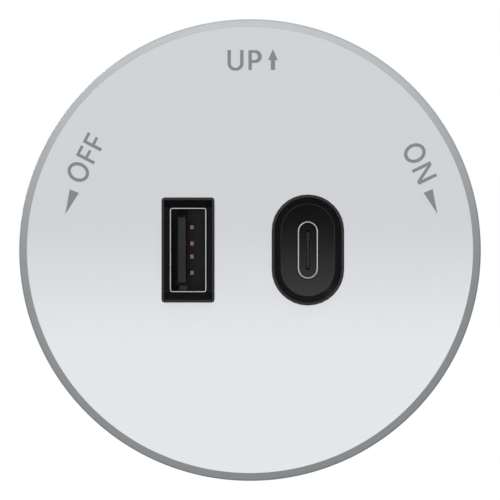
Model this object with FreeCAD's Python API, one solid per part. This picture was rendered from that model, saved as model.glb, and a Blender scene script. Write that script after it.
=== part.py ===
"""Round USB power adapter for a wall-mounted electrified track, with a twist-to-lock spindle.

Frame, in millimetres: the twist axis is Y. The face looks towards -Y, +Z is the face's UP arrow and
+X is to the right of someone who looks at the face. The origin is on the twist axis, in the plane
where the track base seats on the front of the track. The model is in its OFF position.
"""

import FreeCAD
import Part

import math
import os

V = FreeCAD.Vector
INTO_TRACK = V(0, 1, 0)
TWIST_CENTRE = V(0, 0, 0)
SAME_PLACE = 0.0001

# Drum: the round body that the hand turns
body_diameter = 71.0
body_depth = 25.6
shell_wall = 2.1
front_wall = 2.2
rim_width = 1.22
rim_depth = 1.1
face_thickness = 1.5
face_gap = 0.03
pad_thickness = 0.2
pad_width = 36.0
pad_height = 8.0
pad_place = 15.0

# Places of the two ports on the face
usb_a_x = -9.52
usb_c_x = 8.90

# Pocket insert round the USB A port
bezel_a_width = 8.1
bezel_a_height = 16.1
bezel_a_corner = 0.5
bezel_a_lip = 0.43
bezel_a_floor = 1.5
bezel_a_ramp = 0.95

# Pocket insert round the USB C port
bezel_c_width = 11.1
bezel_c_height = 17.0
bezel_c_lip = 0.46
bezel_c_slope_width = 0.9
bezel_c_floor = 1.6

# Both inserts
bezel_proud = 0.12
bezel_edge_chamfer = 0.25
bezel_flange = 1.4
bezel_flange_thickness = 1.1
bezel_gap = 0.03
port_gap = 0.12
port_proud = 0.15
wall_window_gap = 0.6
cut_past = 0.5

# USB A receptacle, to the connector standard
a_opening_width = 5.12
a_opening_height = 12.5
a_sheet = 0.3
a_corner = 0.45
a_tongue_thickness = 1.84
a_tongue_width = 10.9
a_tongue_offset = -1.1
a_tongue_sink = 0.8
a_tongue_chamfer = 0.42
a_tongue_contact_chamfer = 0.2
a_base_length = 2.6
a_ledge_width = 1.2
a_ledge_sink = 0.6
a_contact_places = (-3.5, -1.0, 1.0, 3.5)
a_contact_width = 0.7
a_contact_sheet = 0.25
a_contact_reach = 2.05
a_contact_tip = 2.4
a_contact_crown = 4.1
a_contact_crown_length = 0.5
a_contact_root = 1.2
a_groove_front_gap = 0.4
a_groove_side_gap = 0.1
a_groove_depth = 0.5
a_finger_places = (-3.0, 3.0)
a_finger_width = 1.3
a_finger_length = 4.2
a_finger_root = 6.9
a_finger_bow = 0.3
a_finger_crown_place = 1.05
a_finger_slot = 0.3

# USB C receptacle, to the connector standard
c_opening_width = 2.56
c_opening_height = 8.34
c_sheet = 0.3
c_tongue_thickness = 0.7
c_tongue_width = 6.69
c_tongue_sink = 0.9
c_tongue_length = 5.3
c_tongue_nose = 0.18
c_tongue_corner = 0.62
c_root_thickness = 1.36
c_root_length = 1.3
c_contact_count = 12
c_contact_spacing = 0.5
c_contact_width = 0.25
c_contact_sheet = 0.05
c_contact_length = 3.6

# Both receptacles
insulator_fit = 0.02
port_height = 12.05
solder_leg_width = 1.3
solder_leg_tip = 0.7
solder_leg_gap = 0.12
tail_width = 0.6

# Circuit boards
usb_board_width = 30.0
usb_board_top = 7.5
usb_board_bottom = -10.0
usb_board_thickness = 1.0
power_board_edge_gap = 2.0
power_board_thickness = 1.6
power_board_gap = 3.3
power_board_end_gap = 3.0
board_boss_gap = 0.4
header_pins = 4
header_spacing = 2.54
header_height = 2.4
header_z = -8.0
pin_side = 0.64
pin_gap = 0.08
pin_stub = 0.5

# Transformer on the power board
transformer_gap = 0.5
transformer_front_gap = 1.0
core_width = 16.0
core_depth = 5.0
core_leg = 4.0
core_back = 2.2
core_yoke = 2.2
core_split = 0.05
bobbin_wall = 0.8
bobbin_flange = 1.0
bobbin_flange_depth = 13.4
bobbin_fit = 0.15
winding_depth = 12.2
winding_fill = 2.3
foot_height = 1.6
pin_sink = 1.2
foot_width = 15.0
foot_depth = 15.4
transformer_pins = 3
transformer_pin_spacing = 4.8
transformer_pin_row = 12.6

# Other parts on the power board: places are (x, z), and a drop is below the transformer's middle
bulk_x = 14.2
bulk_drop = 2.9
bulk_diameter = 10.0
bulk_height = 11.2
output_place = (0.0, -14.8)
output_diameter = 8.0
output_height = 10.4
choke_place = (12.4, -16.6)
choke_size = (9.0, 8.6, 9.0)
choke_waist = 5.0
choke_end = 1.8
fuse_place = (-12.6, -16.6)
fuse_size = (8.4, 7.6, 4.3)
line_capacitor_size = (13.0, 10.6, 5.0)
line_capacitor_gap = 0.3
safety_capacitor_x = -14.0
safety_capacitor_drop = 2.9
safety_capacitor_size = (6.0, 9.0, 10.4)
rectifier_place = (19.6, 1.5)
rectifier_size = (6.4, 2.2, 8.3)
optocoupler_place = (20.0, -8.0)
optocoupler_size = (6.4, 3.6, 4.6)
part_leg_thickness = 0.3
chip_place = (-12.0, 12.0)
chip_size = (4.9, 1.45, 3.9)
chip_lead_span = 6.0
chip_lead_width = 0.42
chip_lead_spacing = 1.27
chip_lead_count = 4
chip_lead_rise = chip_size[1] / 3
component_stand = 0.1
barrier_gap = 0.9
barrier_thickness = 0.5
barrier_width = 34.0

# Bosses for the cover's screws, and pillars that carry the power board, on the drum's wall
boss_width = 5.6
boss_screw_inset = 3.2
boss_angles = (0.0, 180.0)
pillar_width = 4.4
pillar_reach = 4.5
pillar_angles = (90.0, 270.0)

# Rear cover, a disc inside the drum's rear edge with a hub behind it
cover_thickness = 2.8
cover_gap = 0.1
hub_radius = 15.0
wire_hole_width = 11.0

# Screws of the cover
screw_pilot = 2.2
screw_clearance = 3.0
screw_head = 4.6
screw_head_height = 1.5
screw_length = 8.0
pilot_spare = 0.3

# Track base, the disc that stays square to the track
base_radius = 24.0
base_thickness = 4.2
base_running_gap = 0.08
base_ledge_gap = 0.2
base_counterbore_gap = 0.3
base_gap = 0.2
key_width = 11.4
key_height = 2.4
key_length = 4.0
key_inset = 0.3
key_lead_in = 0.7

# Twist stop and click
twist_travel = 90.0
stop_edge = 4.0
stop_tab_width = 3.2
stop_tab_height = 1.7
stop_tab_angle = 135.0
stop_groove_gap = 0.25
stop_groove_depth = 1.8
click_angle = -45.0
click_notch_half = 1.3
click_notch_floor_half = 0.6
click_notch_depth = 0.7
click_spring_thickness = 0.3
click_spring_width = 3.4
click_spring_span = 11.0
click_spring_foot = 1.5
click_nose_half = 1.05
click_nose_flat_half = 0.35
click_nose_gap = 0.12
click_pocket_depth = 1.3
click_pocket_gap = 0.3

# Locking spindle
flange_overlap = 2.2
flange_thickness = 1.6
flange_sink = 0.3
wing_radius = 14.5
wing_thickness = 11.2
wing_wall = 1.4
wing_end_wall = 1.8
wing_length = 14.6
lip_gap = 3.0
tip_thickness = 1.6
tip_chamfer = 0.9
spindle_bore = 4.3

# Snap legs that hold the spindle's flange on the cover's hub
snap_leg_place = 10.2
snap_leg_width = 5.0
snap_leg_thickness = 1.6
snap_hook = 0.6
snap_hook_length = 1.0
snap_gap = 0.1

# Contacts in the spindle: L and N leave one end and the earth leaves the other
live_y = 7.4
neutral_y = 13.4
earth_y = 10.4
shoe_width = 5.0
shoe_height = 2.4
shoe_reach = 1.3
shoe_slide_gap = 0.1
shoe_shoulder_width = 6.4
shoe_shoulder_height = 3.8
shoe_shoulder_length = 2.0
shoe_shoulder_gap = 0.3
shoe_tail_length = 2.6
shoe_tail_width = 1.6
shoe_tail_thickness = 0.5
spring_rib_x = 3.6
spring_rib_thickness = 1.0
spring_rib_reach = 1.2
spring_sheet = 0.25
spring_height = 3.0
spring_width = 3.2
spring_seat_gap = 0.02
divider_thickness = 1.0
hook_half_width = 3.0
hook_lip = 1.0
hook_lip_length = 2.8
hook_bump = 1.0
hook_bump_length = 1.2
hook_gap = 0.15
hook_lead_in = 0.2
lead_thickness = 1.1
lead_width = 1.5
lead_place = 2.2
lead_bend_radius = 2.0

# Radii that follow from the sizes above
body_radius = body_diameter / 2
face_radius = body_radius - rim_width - face_gap
shell_bore = body_radius - shell_wall
boss_circle = shell_bore - boss_screw_inset
power_board_radius = shell_bore - power_board_edge_gap
flange_radius = hub_radius + flange_overlap
stop_circle = base_radius - stop_edge
key_inner = flange_radius + base_counterbore_gap + key_inset
key_outer = key_inner + key_length
room_end = wing_radius - wing_end_wall
shoulder_x = room_end - shoe_shoulder_gap

# Places along the twist axis, from the seat at y = 0 forward to the face
cover_rear_y = -(base_thickness + base_gap)
cover_front_y = cover_rear_y - cover_thickness
face_y = cover_rear_y - body_depth
wall_front_y = face_y + face_thickness + pad_thickness
wall_back_y = wall_front_y + front_wall
power_board_rear_y = cover_front_y - power_board_gap
power_board_front_y = power_board_rear_y - power_board_thickness
component_foot_y = power_board_front_y - component_stand
transformer_foot_y = power_board_front_y - foot_height
core_height = transformer_foot_y - transformer_front_gap - wall_back_y
flange_rear_y = -flange_sink
flange_front_y = flange_rear_y - flange_thickness
base_front_y = -base_thickness
wing_front_y = lip_gap
cap_front_y = wing_front_y + wing_length
tip_y = cap_front_y + tip_thickness
port_a_y = face_y + bezel_a_floor - port_proud
port_c_y = face_y + bezel_c_floor - port_proud
usb_board_front_y = port_a_y + port_height
usb_board_rear_y = usb_board_front_y + usb_board_thickness


def disc(radius, y0, y1, x=0.0, z=0.0):
    """A round bar along the twist axis."""
    return Part.makeCylinder(radius, y1 - y0, V(x, y0, z), INTO_TRACK)


def block(x0, x1, y0, y1, z0, z1):
    """A box between two corners."""
    return Part.makeBox(x1 - x0, y1 - y0, z1 - z0, V(x0, y0, z0))


def turned(profile, x=0.0, z=0.0):
    """A turned solid about an axis along Y, from (radius, y) corners."""
    corners = [V(x + radius, y, z) for radius, y in profile]
    face = Part.Face(Part.makePolygon(corners + corners[:1]))
    return face.revolve(V(x, 0, z), INTO_TRACK, 360)


def outline(width, height, corner, y, x=0.0, z=0.0):
    """A rounded rectangle across the twist axis. A corner of half the width makes it a stadium."""
    right, top = width / 2, height / 2
    edges = []
    for start in (0, 90, 180, 270):
        turn = math.radians(start)
        side_x = math.copysign(1, math.cos(turn + math.pi / 4))
        side_z = math.copysign(1, math.sin(turn + math.pi / 4))
        centre = V(x + side_x * (right - corner), y, z + side_z * (top - corner))
        rim = [
            centre + V(corner * math.cos(turn + share), 0, corner * math.sin(turn + share))
            for share in (0, math.pi / 4, math.pi / 2)
        ]
        if edges and (rim[0] - edges[-1].Vertexes[-1].Point).Length > SAME_PLACE:
            edges.append(Part.LineSegment(edges[-1].Vertexes[-1].Point, rim[0]).toShape())
        edges.append(Part.Arc(*rim).toShape())
    first, last = edges[0].Vertexes[0].Point, edges[-1].Vertexes[-1].Point
    if (first - last).Length > SAME_PLACE:
        edges.append(Part.LineSegment(last, first).toShape())
    return Part.Wire(edges)


def rounded(width, height, corner, y0, y1, x=0.0, z=0.0):
    """A bar along Y with a rounded rectangle as its section."""
    return Part.Face(outline(width, height, corner, y0, x, z)).extrude(V(0, y1 - y0, 0))


def stadium(width, height, y0, y1, x=0.0, z=0.0):
    """A bar along Y with a stadium as its section, its long way upright."""
    return rounded(width, height, width / 2, y0, y1, x, z)


def prism(corners, z0, z1):
    """A bar along Z from (x, y) corners."""
    points = [V(x, y, z0) for x, y in corners]
    return Part.Face(Part.makePolygon(points + points[:1])).extrude(V(0, 0, z1 - z0))


def bent_strip(centreline, sheet, z0, z1):
    """A sheet-metal strip of one width that follows (x, y) points, mitred at each bend."""
    sides = ([], [])
    for i, (x, y) in enumerate(centreline):
        before = centreline[max(i - 1, 0)]
        after = centreline[min(i + 1, len(centreline) - 1)]
        into = V(x - before[0], y - before[1], 0) if i else V(after[0] - x, after[1] - y, 0)
        out = V(after[0] - x, after[1] - y, 0) if after != (x, y) else into
        into, out = into.normalize(), out.normalize()
        normal = V(-into.y - out.y, into.x + out.x, 0).normalize()
        reach = sheet / 2 / (normal.x * -into.y + normal.y * into.x)
        for side, sign in zip(sides, (1, -1)):
            side.append((x + sign * reach * normal.x, y + sign * reach * normal.y))
    return prism(sides[0] + sides[1][::-1], z0, z1)


def radial_block(inner, outer, width, y0, y1, angle):
    """A block that reaches out along a radius at an angle from +X towards +Z."""
    bar = block(inner, outer, y0, y1, -width / 2, width / 2)
    bar.rotate(TWIST_CENTRE, INTO_TRACK, -angle)
    return bar


def joined(shapes):
    """One solid from shapes that meet or overlap."""
    whole = shapes[0].fuse(shapes[1:]) if len(shapes) > 1 else shapes[0]
    return whole.removeSplitter()


def cut_all(shape, tools):
    """A shape with every tool taken away."""
    return shape.cut(tools).removeSplitter() if tools else shape


def port_edges(shape, y, width, height, x):
    """The edges of a port's outline at one place along the twist axis."""
    found = []
    for e in shape.Edges:
        box = e.BoundBox
        flat = abs(box.YMin - y) < SAME_PLACE and abs(box.YMax - y) < SAME_PLACE
        middle = e.valueAt((e.FirstParameter + e.LastParameter) / 2)
        out_x = abs(abs(middle.x - x) - width / 2) < SAME_PLACE
        out_z = abs(abs(middle.z) - height / 2) < SAME_PLACE
        arc = isinstance(e.Curve, Part.Circle) and e.Curve.Radius <= width / 2 + SAME_PLACE
        if flat and (out_x or out_z or arc):
            found.append(e)
    return found


def plate(corners, y0, y1):
    """A flat plate across the twist axis from (x, z) corners."""
    points = [V(x, y0, z) for x, z in corners]
    return Part.Face(Part.makePolygon(points + points[:1])).extrude(V(0, y1 - y0, 0))


# Face and drum


def face_plate():
    face = disc(face_radius, face_y, face_y + face_thickness)
    return face.cut([bezel_a_window(bezel_gap), bezel_c_window(bezel_gap)])


def face_pads():
    """Two double-sided pads that hold the face plate on the drum, above and below the ports."""
    back_y = face_y + face_thickness
    pads = []
    for side in (-1, 1):
        low, high = sorted((side * pad_place, side * (pad_place + pad_height)))
        pads.append(block(-pad_width / 2, pad_width / 2, back_y, wall_front_y, low, high))
    return Part.makeCompound(pads)


def bezel_a_window(gap):
    """The room of the USB A insert through the face, with a gap all round."""
    return rounded(
        bezel_a_width + 2 * gap,
        bezel_a_height + 2 * gap,
        bezel_a_corner + gap,
        face_y - cut_past,
        wall_front_y,
        usb_a_x,
    )


def bezel_c_window(gap):
    """The room of the USB C insert through the face, with a gap all round."""
    width, height = bezel_c_width + 2 * gap, bezel_c_height + 2 * gap
    return stadium(width, height, face_y - cut_past, wall_front_y, usb_c_x)


def outer_shell():
    lip = face_radius + face_gap
    shell = turned(
        [
            (0, wall_front_y),
            (lip, wall_front_y),
            (lip, face_y),
            (body_radius, face_y + rim_depth),
            (body_radius, cover_rear_y),
            (shell_bore, cover_rear_y),
            (shell_bore, wall_back_y),
            (0, wall_back_y),
        ]
    )
    foot_y = wall_back_y - front_wall / 2
    in_wall = shell_bore + shell_wall / 2
    inner = boss_circle - boss_width / 2
    bosses = [
        radial_block(inner, in_wall, boss_width, foot_y, cover_front_y, angle)
        for angle in boss_angles
    ]
    inner = shell_bore - pillar_reach
    pillars = [
        radial_block(inner, in_wall, pillar_width, foot_y, power_board_front_y, angle)
        for angle in pillar_angles
    ]
    tools = [
        bezel_flange_block(bezel_a_width, bezel_a_height, bezel_gap, usb_a_x),
        bezel_flange_block(bezel_c_width, bezel_c_height, bezel_gap, usb_c_x),
        port_window_a(),
        port_window_c(),
    ]
    pilot_y = cover_rear_y - screw_length - pilot_spare
    for x, z in boss_places():
        tools.append(disc(screw_pilot / 2, pilot_y, cover_front_y, x, z))
    return cut_all(joined([shell] + bosses + pillars), tools)


def port_window_a():
    """The room of the USB A shell through the drum's front wall."""
    half_x = a_opening_width / 2 + a_sheet + wall_window_gap
    half_z = a_opening_height / 2 + a_sheet + wall_window_gap
    return block(usb_a_x - half_x, usb_a_x + half_x, wall_front_y, wall_back_y, -half_z, half_z)


def port_window_c():
    """The room of the USB C shell through the drum's front wall."""
    half_x = c_opening_width / 2 + c_sheet + wall_window_gap
    half_z = c_opening_height / 2 + c_sheet + wall_window_gap
    return block(usb_c_x - half_x, usb_c_x + half_x, wall_front_y, wall_back_y, -half_z, half_z)


def boss_places():
    return [place_on(boss_circle, angle) for angle in boss_angles]


# Pocket inserts


def bezel_flange_block(width, height, gap, x):
    """The square-cornered flange of an insert behind the face plate, or its room with a gap."""
    half_x = width / 2 + bezel_flange + gap
    half_z = height / 2 + bezel_flange + gap
    front_y = face_y + face_thickness
    rear_y = front_y + bezel_flange_thickness
    return block(x - half_x, x + half_x, front_y, rear_y, -half_z, half_z)


def bezel_body(window, width, height, x):
    """An insert's solid before its pocket: the part in the face, its lip and its flange."""
    edges = port_edges(window, face_y - bezel_proud, width, height, x)
    lip = window.makeChamfer(bezel_edge_chamfer, edges)
    return joined([lip, bezel_flange_block(width, height, 0, x)])


def usb_a_bezel():
    front_y = face_y - bezel_proud
    rear_y = face_y + face_thickness + bezel_flange_thickness
    body = bezel_body(
        rounded(bezel_a_width, bezel_a_height, bezel_a_corner, front_y, rear_y, usb_a_x),
        bezel_a_width,
        bezel_a_height,
        usb_a_x,
    )
    half_x = bezel_a_width / 2 - bezel_a_lip
    half_z = bezel_a_height / 2 - bezel_a_lip
    floor_y = face_y + bezel_a_floor
    left = usb_a_x - half_x
    ramp = [
        V(left, front_y - cut_past, -half_z),
        V(left, face_y, -half_z),
        V(left, floor_y, -half_z + bezel_a_ramp),
        V(left, floor_y, half_z - bezel_a_ramp),
        V(left, face_y, half_z),
        V(left, front_y - cut_past, half_z),
    ]
    pocket = Part.Face(Part.makePolygon(ramp + ramp[:1])).extrude(V(2 * half_x, 0, 0))
    wider = 2 * (a_sheet + port_gap)
    hole = rounded(
        a_opening_width + wider,
        a_opening_height + wider,
        a_corner + port_gap,
        floor_y - cut_past,
        rear_y,
        usb_a_x,
    )
    return cut_all(body, [pocket, hole])


def usb_c_bezel():
    front_y = face_y - bezel_proud
    rear_y = face_y + face_thickness + bezel_flange_thickness
    body = bezel_body(
        stadium(bezel_c_width, bezel_c_height, front_y, rear_y, usb_c_x),
        bezel_c_width,
        bezel_c_height,
        usb_c_x,
    )
    floor_y = face_y + bezel_c_floor
    pocket = Part.makeLoft(
        [
            stadium_outline(bezel_c_width, bezel_c_height, bezel_c_lip, front_y),
            stadium_outline(
                bezel_c_width, bezel_c_height, bezel_c_lip + bezel_c_slope_width, floor_y
            ),
        ],
        True,
        True,
    )
    wider = 2 * (c_sheet + port_gap)
    hole = stadium(
        c_opening_width + wider, c_opening_height + wider, floor_y - cut_past, rear_y, usb_c_x
    )
    return cut_all(body, [pocket, hole])


def stadium_outline(width, height, inset, y):
    """The USB C pocket's outline, set in from the insert's edge."""
    inside = width - 2 * inset
    return outline(inside, height - 2 * inset, inside / 2, y, usb_c_x)


# USB A receptacle


def solder_legs(x, half_width, half_height, sheet):
    """Four legs of a connector shell, in the plane of its wide walls, through the small board."""
    legs = []
    for side in (-1, 1):
        inner, outer = sorted((side * half_width, side * (half_width - sheet)))
        for z in (-half_height / 2, half_height / 2):
            low = z - solder_leg_width / 2
            leg_tip_y = usb_board_rear_y + solder_leg_tip
            leg = block(x + inner, x + outer, usb_board_front_y, leg_tip_y, low, -low + 2 * z)
            legs.append(leg)
    return legs


def usb_a_shell():
    half_x = a_opening_width / 2 + a_sheet
    half_z = a_opening_height / 2 + a_sheet
    outside = rounded(2 * half_x, 2 * half_z, a_corner, port_a_y, usb_board_front_y, usb_a_x)
    inside = rounded(
        a_opening_width,
        a_opening_height,
        a_corner - a_sheet,
        port_a_y,
        usb_board_front_y,
        usb_a_x,
    )
    shell = outside.cut(inside)
    root_y = port_a_y + a_finger_root
    free_y = root_y - a_finger_length
    fingers = []
    for side in (-1, 1):
        wall = usb_a_x + side * (half_x - a_sheet / 2)
        for z in a_finger_places:
            low = z - a_finger_width / 2
            high = z + a_finger_width / 2
            x0, x1 = sorted((wall - side * a_sheet, wall + side * a_sheet))
            around = block(
                x0, x1, free_y - a_finger_slot, root_y, low - a_finger_slot, high + a_finger_slot
            )
            shell = shell.cut(around)
            crown = wall - side * (a_finger_bow + a_sheet / 2)
            path = [
                (wall, root_y + a_finger_slot),
                (wall, root_y),
                (crown, free_y + a_finger_crown_place),
                (wall - side * a_sheet / 2, free_y),
            ]
            fingers.append(bent_strip(path, a_sheet, low, high))
    legs = solder_legs(usb_a_x, half_x, half_z, a_sheet)
    return joined([shell] + fingers + legs)


def usb_a_insulator():
    half_x = a_opening_width / 2 - insulator_fit
    half_z = a_opening_height / 2 - insulator_fit
    base_y = usb_board_front_y - a_base_length
    base = rounded(
        2 * half_x, 2 * half_z, a_corner - a_sheet, base_y, usb_board_front_y, usb_a_x
    )
    left = usb_a_x + a_tongue_offset - a_tongue_thickness / 2
    right = left + a_tongue_thickness
    front_y = port_a_y + a_tongue_sink
    into_base_y = base_y + a_base_length / 2
    nose = [
        (left, into_base_y),
        (left, front_y + a_tongue_chamfer),
        (left + a_tongue_chamfer, front_y),
        (right - a_tongue_contact_chamfer, front_y),
        (right, front_y + a_tongue_contact_chamfer),
        (right, into_base_y),
    ]
    tongue = prism(nose, -a_tongue_width / 2, a_tongue_width / 2)
    tongue = tongue.cut(tongue_corners(usb_a_x, front_y, a_tongue_width, a_tongue_chamfer))
    ledge = block(
        right - a_ledge_width,
        right,
        front_y + a_ledge_sink,
        into_base_y,
        -half_z,
        -a_tongue_width / 2 + a_tongue_chamfer,
    )
    whole = joined([base, tongue, ledge])
    grooves = []
    floor = right - a_groove_depth
    half_groove = a_contact_width / 2 + a_groove_side_gap
    start_y = port_a_y + a_contact_tip - a_groove_front_gap
    for z in a_contact_places:
        low, high = z - half_groove, z + half_groove
        grooves.append(block(floor, right + cut_past, start_y, base_y, low, high))
        low, high = z - a_contact_width / 2, z + a_contact_width / 2
        grooves.append(
            block(floor, floor + a_contact_sheet, base_y, usb_board_front_y, low, high)
        )
    return cut_all(whole, grooves)


def tongue_corners(x, front_y, width, chamfer):
    """The wedges that take the two end corners off a tongue's nose."""
    wedges = []
    for side in (-1, 1):
        z = side * width / 2
        corners = [
            V(x - width / 2, front_y - cut_past, z - side * (chamfer + cut_past)),
            V(x - width / 2, front_y - cut_past, z + side * cut_past),
            V(x - width / 2, front_y + chamfer + cut_past, z + side * cut_past),
        ]
        face = Part.Face(Part.makePolygon(corners + corners[:1]))
        wedges.append(face.extrude(V(width, 0, 0)))
    return wedges


def usb_a_contacts():
    seat = a_contact_seat()
    crown = usb_a_x + a_tongue_offset + a_contact_reach - a_contact_sheet / 2
    crown_y = port_a_y + a_contact_crown
    ramp_y = crown_y - a_contact_crown_length
    path = [
        (seat, port_a_y + a_contact_tip),
        (seat + (crown - seat) / 2, ramp_y),
        (crown, crown_y),
        (crown, crown_y + a_contact_crown_length),
        (seat, usb_board_front_y - a_base_length - a_contact_root),
        (seat, usb_board_front_y),
    ]
    half = a_contact_width / 2
    strips = [bent_strip(path, a_contact_sheet, z - half, z + half) for z in a_contact_places]
    return Part.makeCompound([joined([s, t]) for s, t in zip(strips, a_contact_tails())])


# USB C receptacle


def usb_c_shell():
    half_x = c_opening_width / 2 + c_sheet
    half_z = c_opening_height / 2 + c_sheet
    outside = stadium(2 * half_x, 2 * half_z, port_c_y, usb_board_front_y, usb_c_x)
    inside = stadium(c_opening_width, c_opening_height, port_c_y, usb_board_front_y, usb_c_x)
    legs = solder_legs(usb_c_x, half_x, half_z, c_sheet)
    return joined([outside.cut(inside)] + legs)


def usb_c_insulator():
    front_y = port_c_y + c_tongue_sink
    base_y = front_y + c_tongue_length
    into_base_y = (base_y + usb_board_front_y) / 2
    width = c_opening_width - 2 * insulator_fit
    height = c_opening_height - 2 * insulator_fit
    base = stadium(width, height, base_y, usb_board_front_y, usb_c_x)
    half = c_tongue_thickness / 2 - c_contact_sheet
    nose = [
        (usb_c_x - half, into_base_y),
        (usb_c_x - half, front_y + c_tongue_nose),
        (usb_c_x - half + c_tongue_nose, front_y),
        (usb_c_x + half - c_tongue_nose, front_y),
        (usb_c_x + half, front_y + c_tongue_nose),
        (usb_c_x + half, into_base_y),
    ]
    tongue = prism(nose, -c_tongue_width / 2, c_tongue_width / 2)
    tongue = tongue.cut(tongue_corners(usb_c_x, front_y, c_tongue_width, c_tongue_corner))
    root = block(
        usb_c_x - c_root_thickness / 2,
        usb_c_x + c_root_thickness / 2,
        base_y - c_root_length,
        into_base_y,
        -c_tongue_width / 2,
        c_tongue_width / 2,
    )
    return joined([base, tongue, root])


def usb_c_contacts():
    """Flat contacts on both faces of the USB C tongue, up to its thicker root."""
    middle = (c_contact_count - 1) / 2
    end_y = port_c_y + c_tongue_sink + c_tongue_length - c_root_length
    bars = []
    for side in (-1, 1):
        face_x = usb_c_x + side * c_tongue_thickness / 2
        x0, x1 = sorted((face_x, face_x - side * c_contact_sheet))
        for i in range(c_contact_count):
            z = (i - middle) * c_contact_spacing
            low, high = z - c_contact_width / 2, z + c_contact_width / 2
            bars.append(block(x0, x1, end_y - c_contact_length, end_y, low, high))
    return Part.makeCompound(bars)


# Circuit boards


def header_xs():
    middle = (header_pins - 1) / 2
    return [(i - middle) * header_spacing for i in range(header_pins)]


def pin_room(x, y0, y1, gap):
    half = pin_side / 2 + gap
    return block(x - half, x + half, y0, y1, header_z - half, header_z + half)


def usb_board():
    board = block(
        -usb_board_width / 2,
        usb_board_width / 2,
        usb_board_front_y,
        usb_board_rear_y,
        usb_board_bottom,
        usb_board_top,
    )
    tools = [pin_room(x, usb_board_front_y, usb_board_rear_y, pin_gap) for x in header_xs()]
    a_half = (a_opening_width / 2 + a_sheet, a_opening_height / 2 + a_sheet)
    c_half = (c_opening_width / 2 + c_sheet, c_opening_height / 2 + c_sheet)
    legs = solder_legs(usb_a_x, *a_half, a_sheet) + solder_legs(usb_c_x, *c_half, c_sheet)
    gap = solder_leg_gap
    for leg in legs + a_contact_tails():
        b = leg.BoundBox
        tools.append(block(b.XMin - gap, b.XMax + gap, b.YMin, b.YMax, b.ZMin - gap, b.ZMax + gap))
    return cut_all(board, tools)


def a_contact_seat():
    """The middle of the USB A contacts' sheet where they lie in their grooves."""
    tongue_face = usb_a_x + a_tongue_offset + a_tongue_thickness / 2
    return tongue_face - a_groove_depth + a_contact_sheet / 2


def a_contact_tails():
    """The narrow ends of the USB A contacts, down through the small board."""
    x = a_contact_seat()
    tip_y = usb_board_rear_y + solder_leg_tip
    half = a_contact_sheet / 2
    return [
        block(x - half, x + half, usb_board_front_y, tip_y, z - tail_width / 2, z + tail_width / 2)
        for z in a_contact_places
    ]


def header_block():
    half = header_pins * header_spacing / 2
    low, high = header_z - header_height / 2, header_z + header_height / 2
    bar = block(-half, half, usb_board_rear_y, power_board_front_y, low, high)
    pins = [pin_room(x, usb_board_rear_y, power_board_front_y, 0) for x in header_xs()]
    return cut_all(bar, pins)


def board_pins():
    front_y, rear_y = usb_board_front_y - pin_stub, power_board_rear_y + pin_stub
    return Part.makeCompound([pin_room(x, front_y, rear_y, 0) for x in header_xs()])


def power_board():
    """A board with eight corners that lie on one circle, clear of the two screw bosses."""
    half_width = boss_circle - boss_width / 2 - board_boss_gap
    half_height = shell_bore - power_board_end_gap
    side = math.sqrt(power_board_radius**2 - half_width**2)
    top = math.sqrt(power_board_radius**2 - half_height**2)
    quarter = [(half_width, side), (top, half_height)]
    left = [(-x, z) for x, z in quarter[::-1]]
    upper = quarter + left
    lower = [(x, -z) for x, z in upper[::-1]]
    board = plate(upper + lower, power_board_front_y, power_board_rear_y)
    tools = [pin_room(x, power_board_front_y, power_board_rear_y, pin_gap) for x in header_xs()]
    half = pin_side / 2 + pin_gap
    for x, z in transformer_pin_places():
        y0, y1 = power_board_front_y, power_board_rear_y
        tools.append(block(x - half, x + half, y0, y1, z - half, z + half))
    return cut_all(board, tools)


# Transformer and other parts on the power board


def transformer_z():
    """The height that keeps the transformer's foot just under the upper pillar."""
    return shell_bore - pillar_reach - transformer_gap - foot_depth / 2


def transformer_core():
    """Two E halves that meet in the middle of the bobbin."""
    rear_y = transformer_foot_y
    front_y = rear_y - core_height
    middle_y = (front_y + rear_y) / 2
    low, high = transformer_z() - core_depth / 2, transformer_z() + core_depth / 2
    frame = block(-core_width / 2, core_width / 2, front_y, rear_y, low, high)
    leg, outer = core_leg / 2, core_width / 2 - core_back
    windows = [
        block(x0, x1, front_y + core_yoke, rear_y - core_yoke, low, high)
        for x0, x1 in ((leg, outer), (-outer, -leg))
    ]
    split = block(
        -core_width, core_width, middle_y - core_split / 2, middle_y + core_split / 2, low, high
    )
    return frame.cut(windows + [split])


def bobbin_sleeve():
    """The half width and half depth of the bobbin's tube, outside."""
    return core_leg / 2 + bobbin_fit + bobbin_wall, core_depth / 2 + bobbin_fit + bobbin_wall


def transformer_bobbin():
    rear_y = transformer_foot_y - core_yoke - bobbin_fit
    front_y = transformer_foot_y - core_height + core_yoke + bobbin_fit
    half_x, half_z = bobbin_sleeve()
    outer = core_width / 2 - core_back - bobbin_fit
    z = transformer_z()
    tube = block(-half_x, half_x, front_y, rear_y, z - half_z, z + half_z)
    half_flange = bobbin_flange_depth / 2
    flanges = [
        block(-outer, outer, front_y, front_y + bobbin_flange, z - half_flange, z + half_flange),
        block(-outer, outer, rear_y - bobbin_flange, rear_y, z - half_flange, z + half_flange),
    ]
    hole_x, hole_z = core_leg / 2 + bobbin_fit, core_depth / 2 + bobbin_fit
    hole = block(-hole_x, hole_x, front_y, rear_y, z - hole_z, z + hole_z)
    feet = []
    for side in (-1, 1):
        inner = z + side * hole_z
        low, high = sorted((inner, z + side * foot_depth / 2))
        feet.append(
            block(
                -foot_width / 2,
                foot_width / 2,
                transformer_foot_y,
                power_board_front_y,
                low,
                high,
            )
        )
        low, high = sorted((inner, z + side * half_flange))
        feet.append(block(-outer, outer, rear_y - bobbin_flange, transformer_foot_y, low, high))
    return joined([tube] + flanges + feet).cut([hole] + transformer_pin_bars()).removeSplitter()


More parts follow.
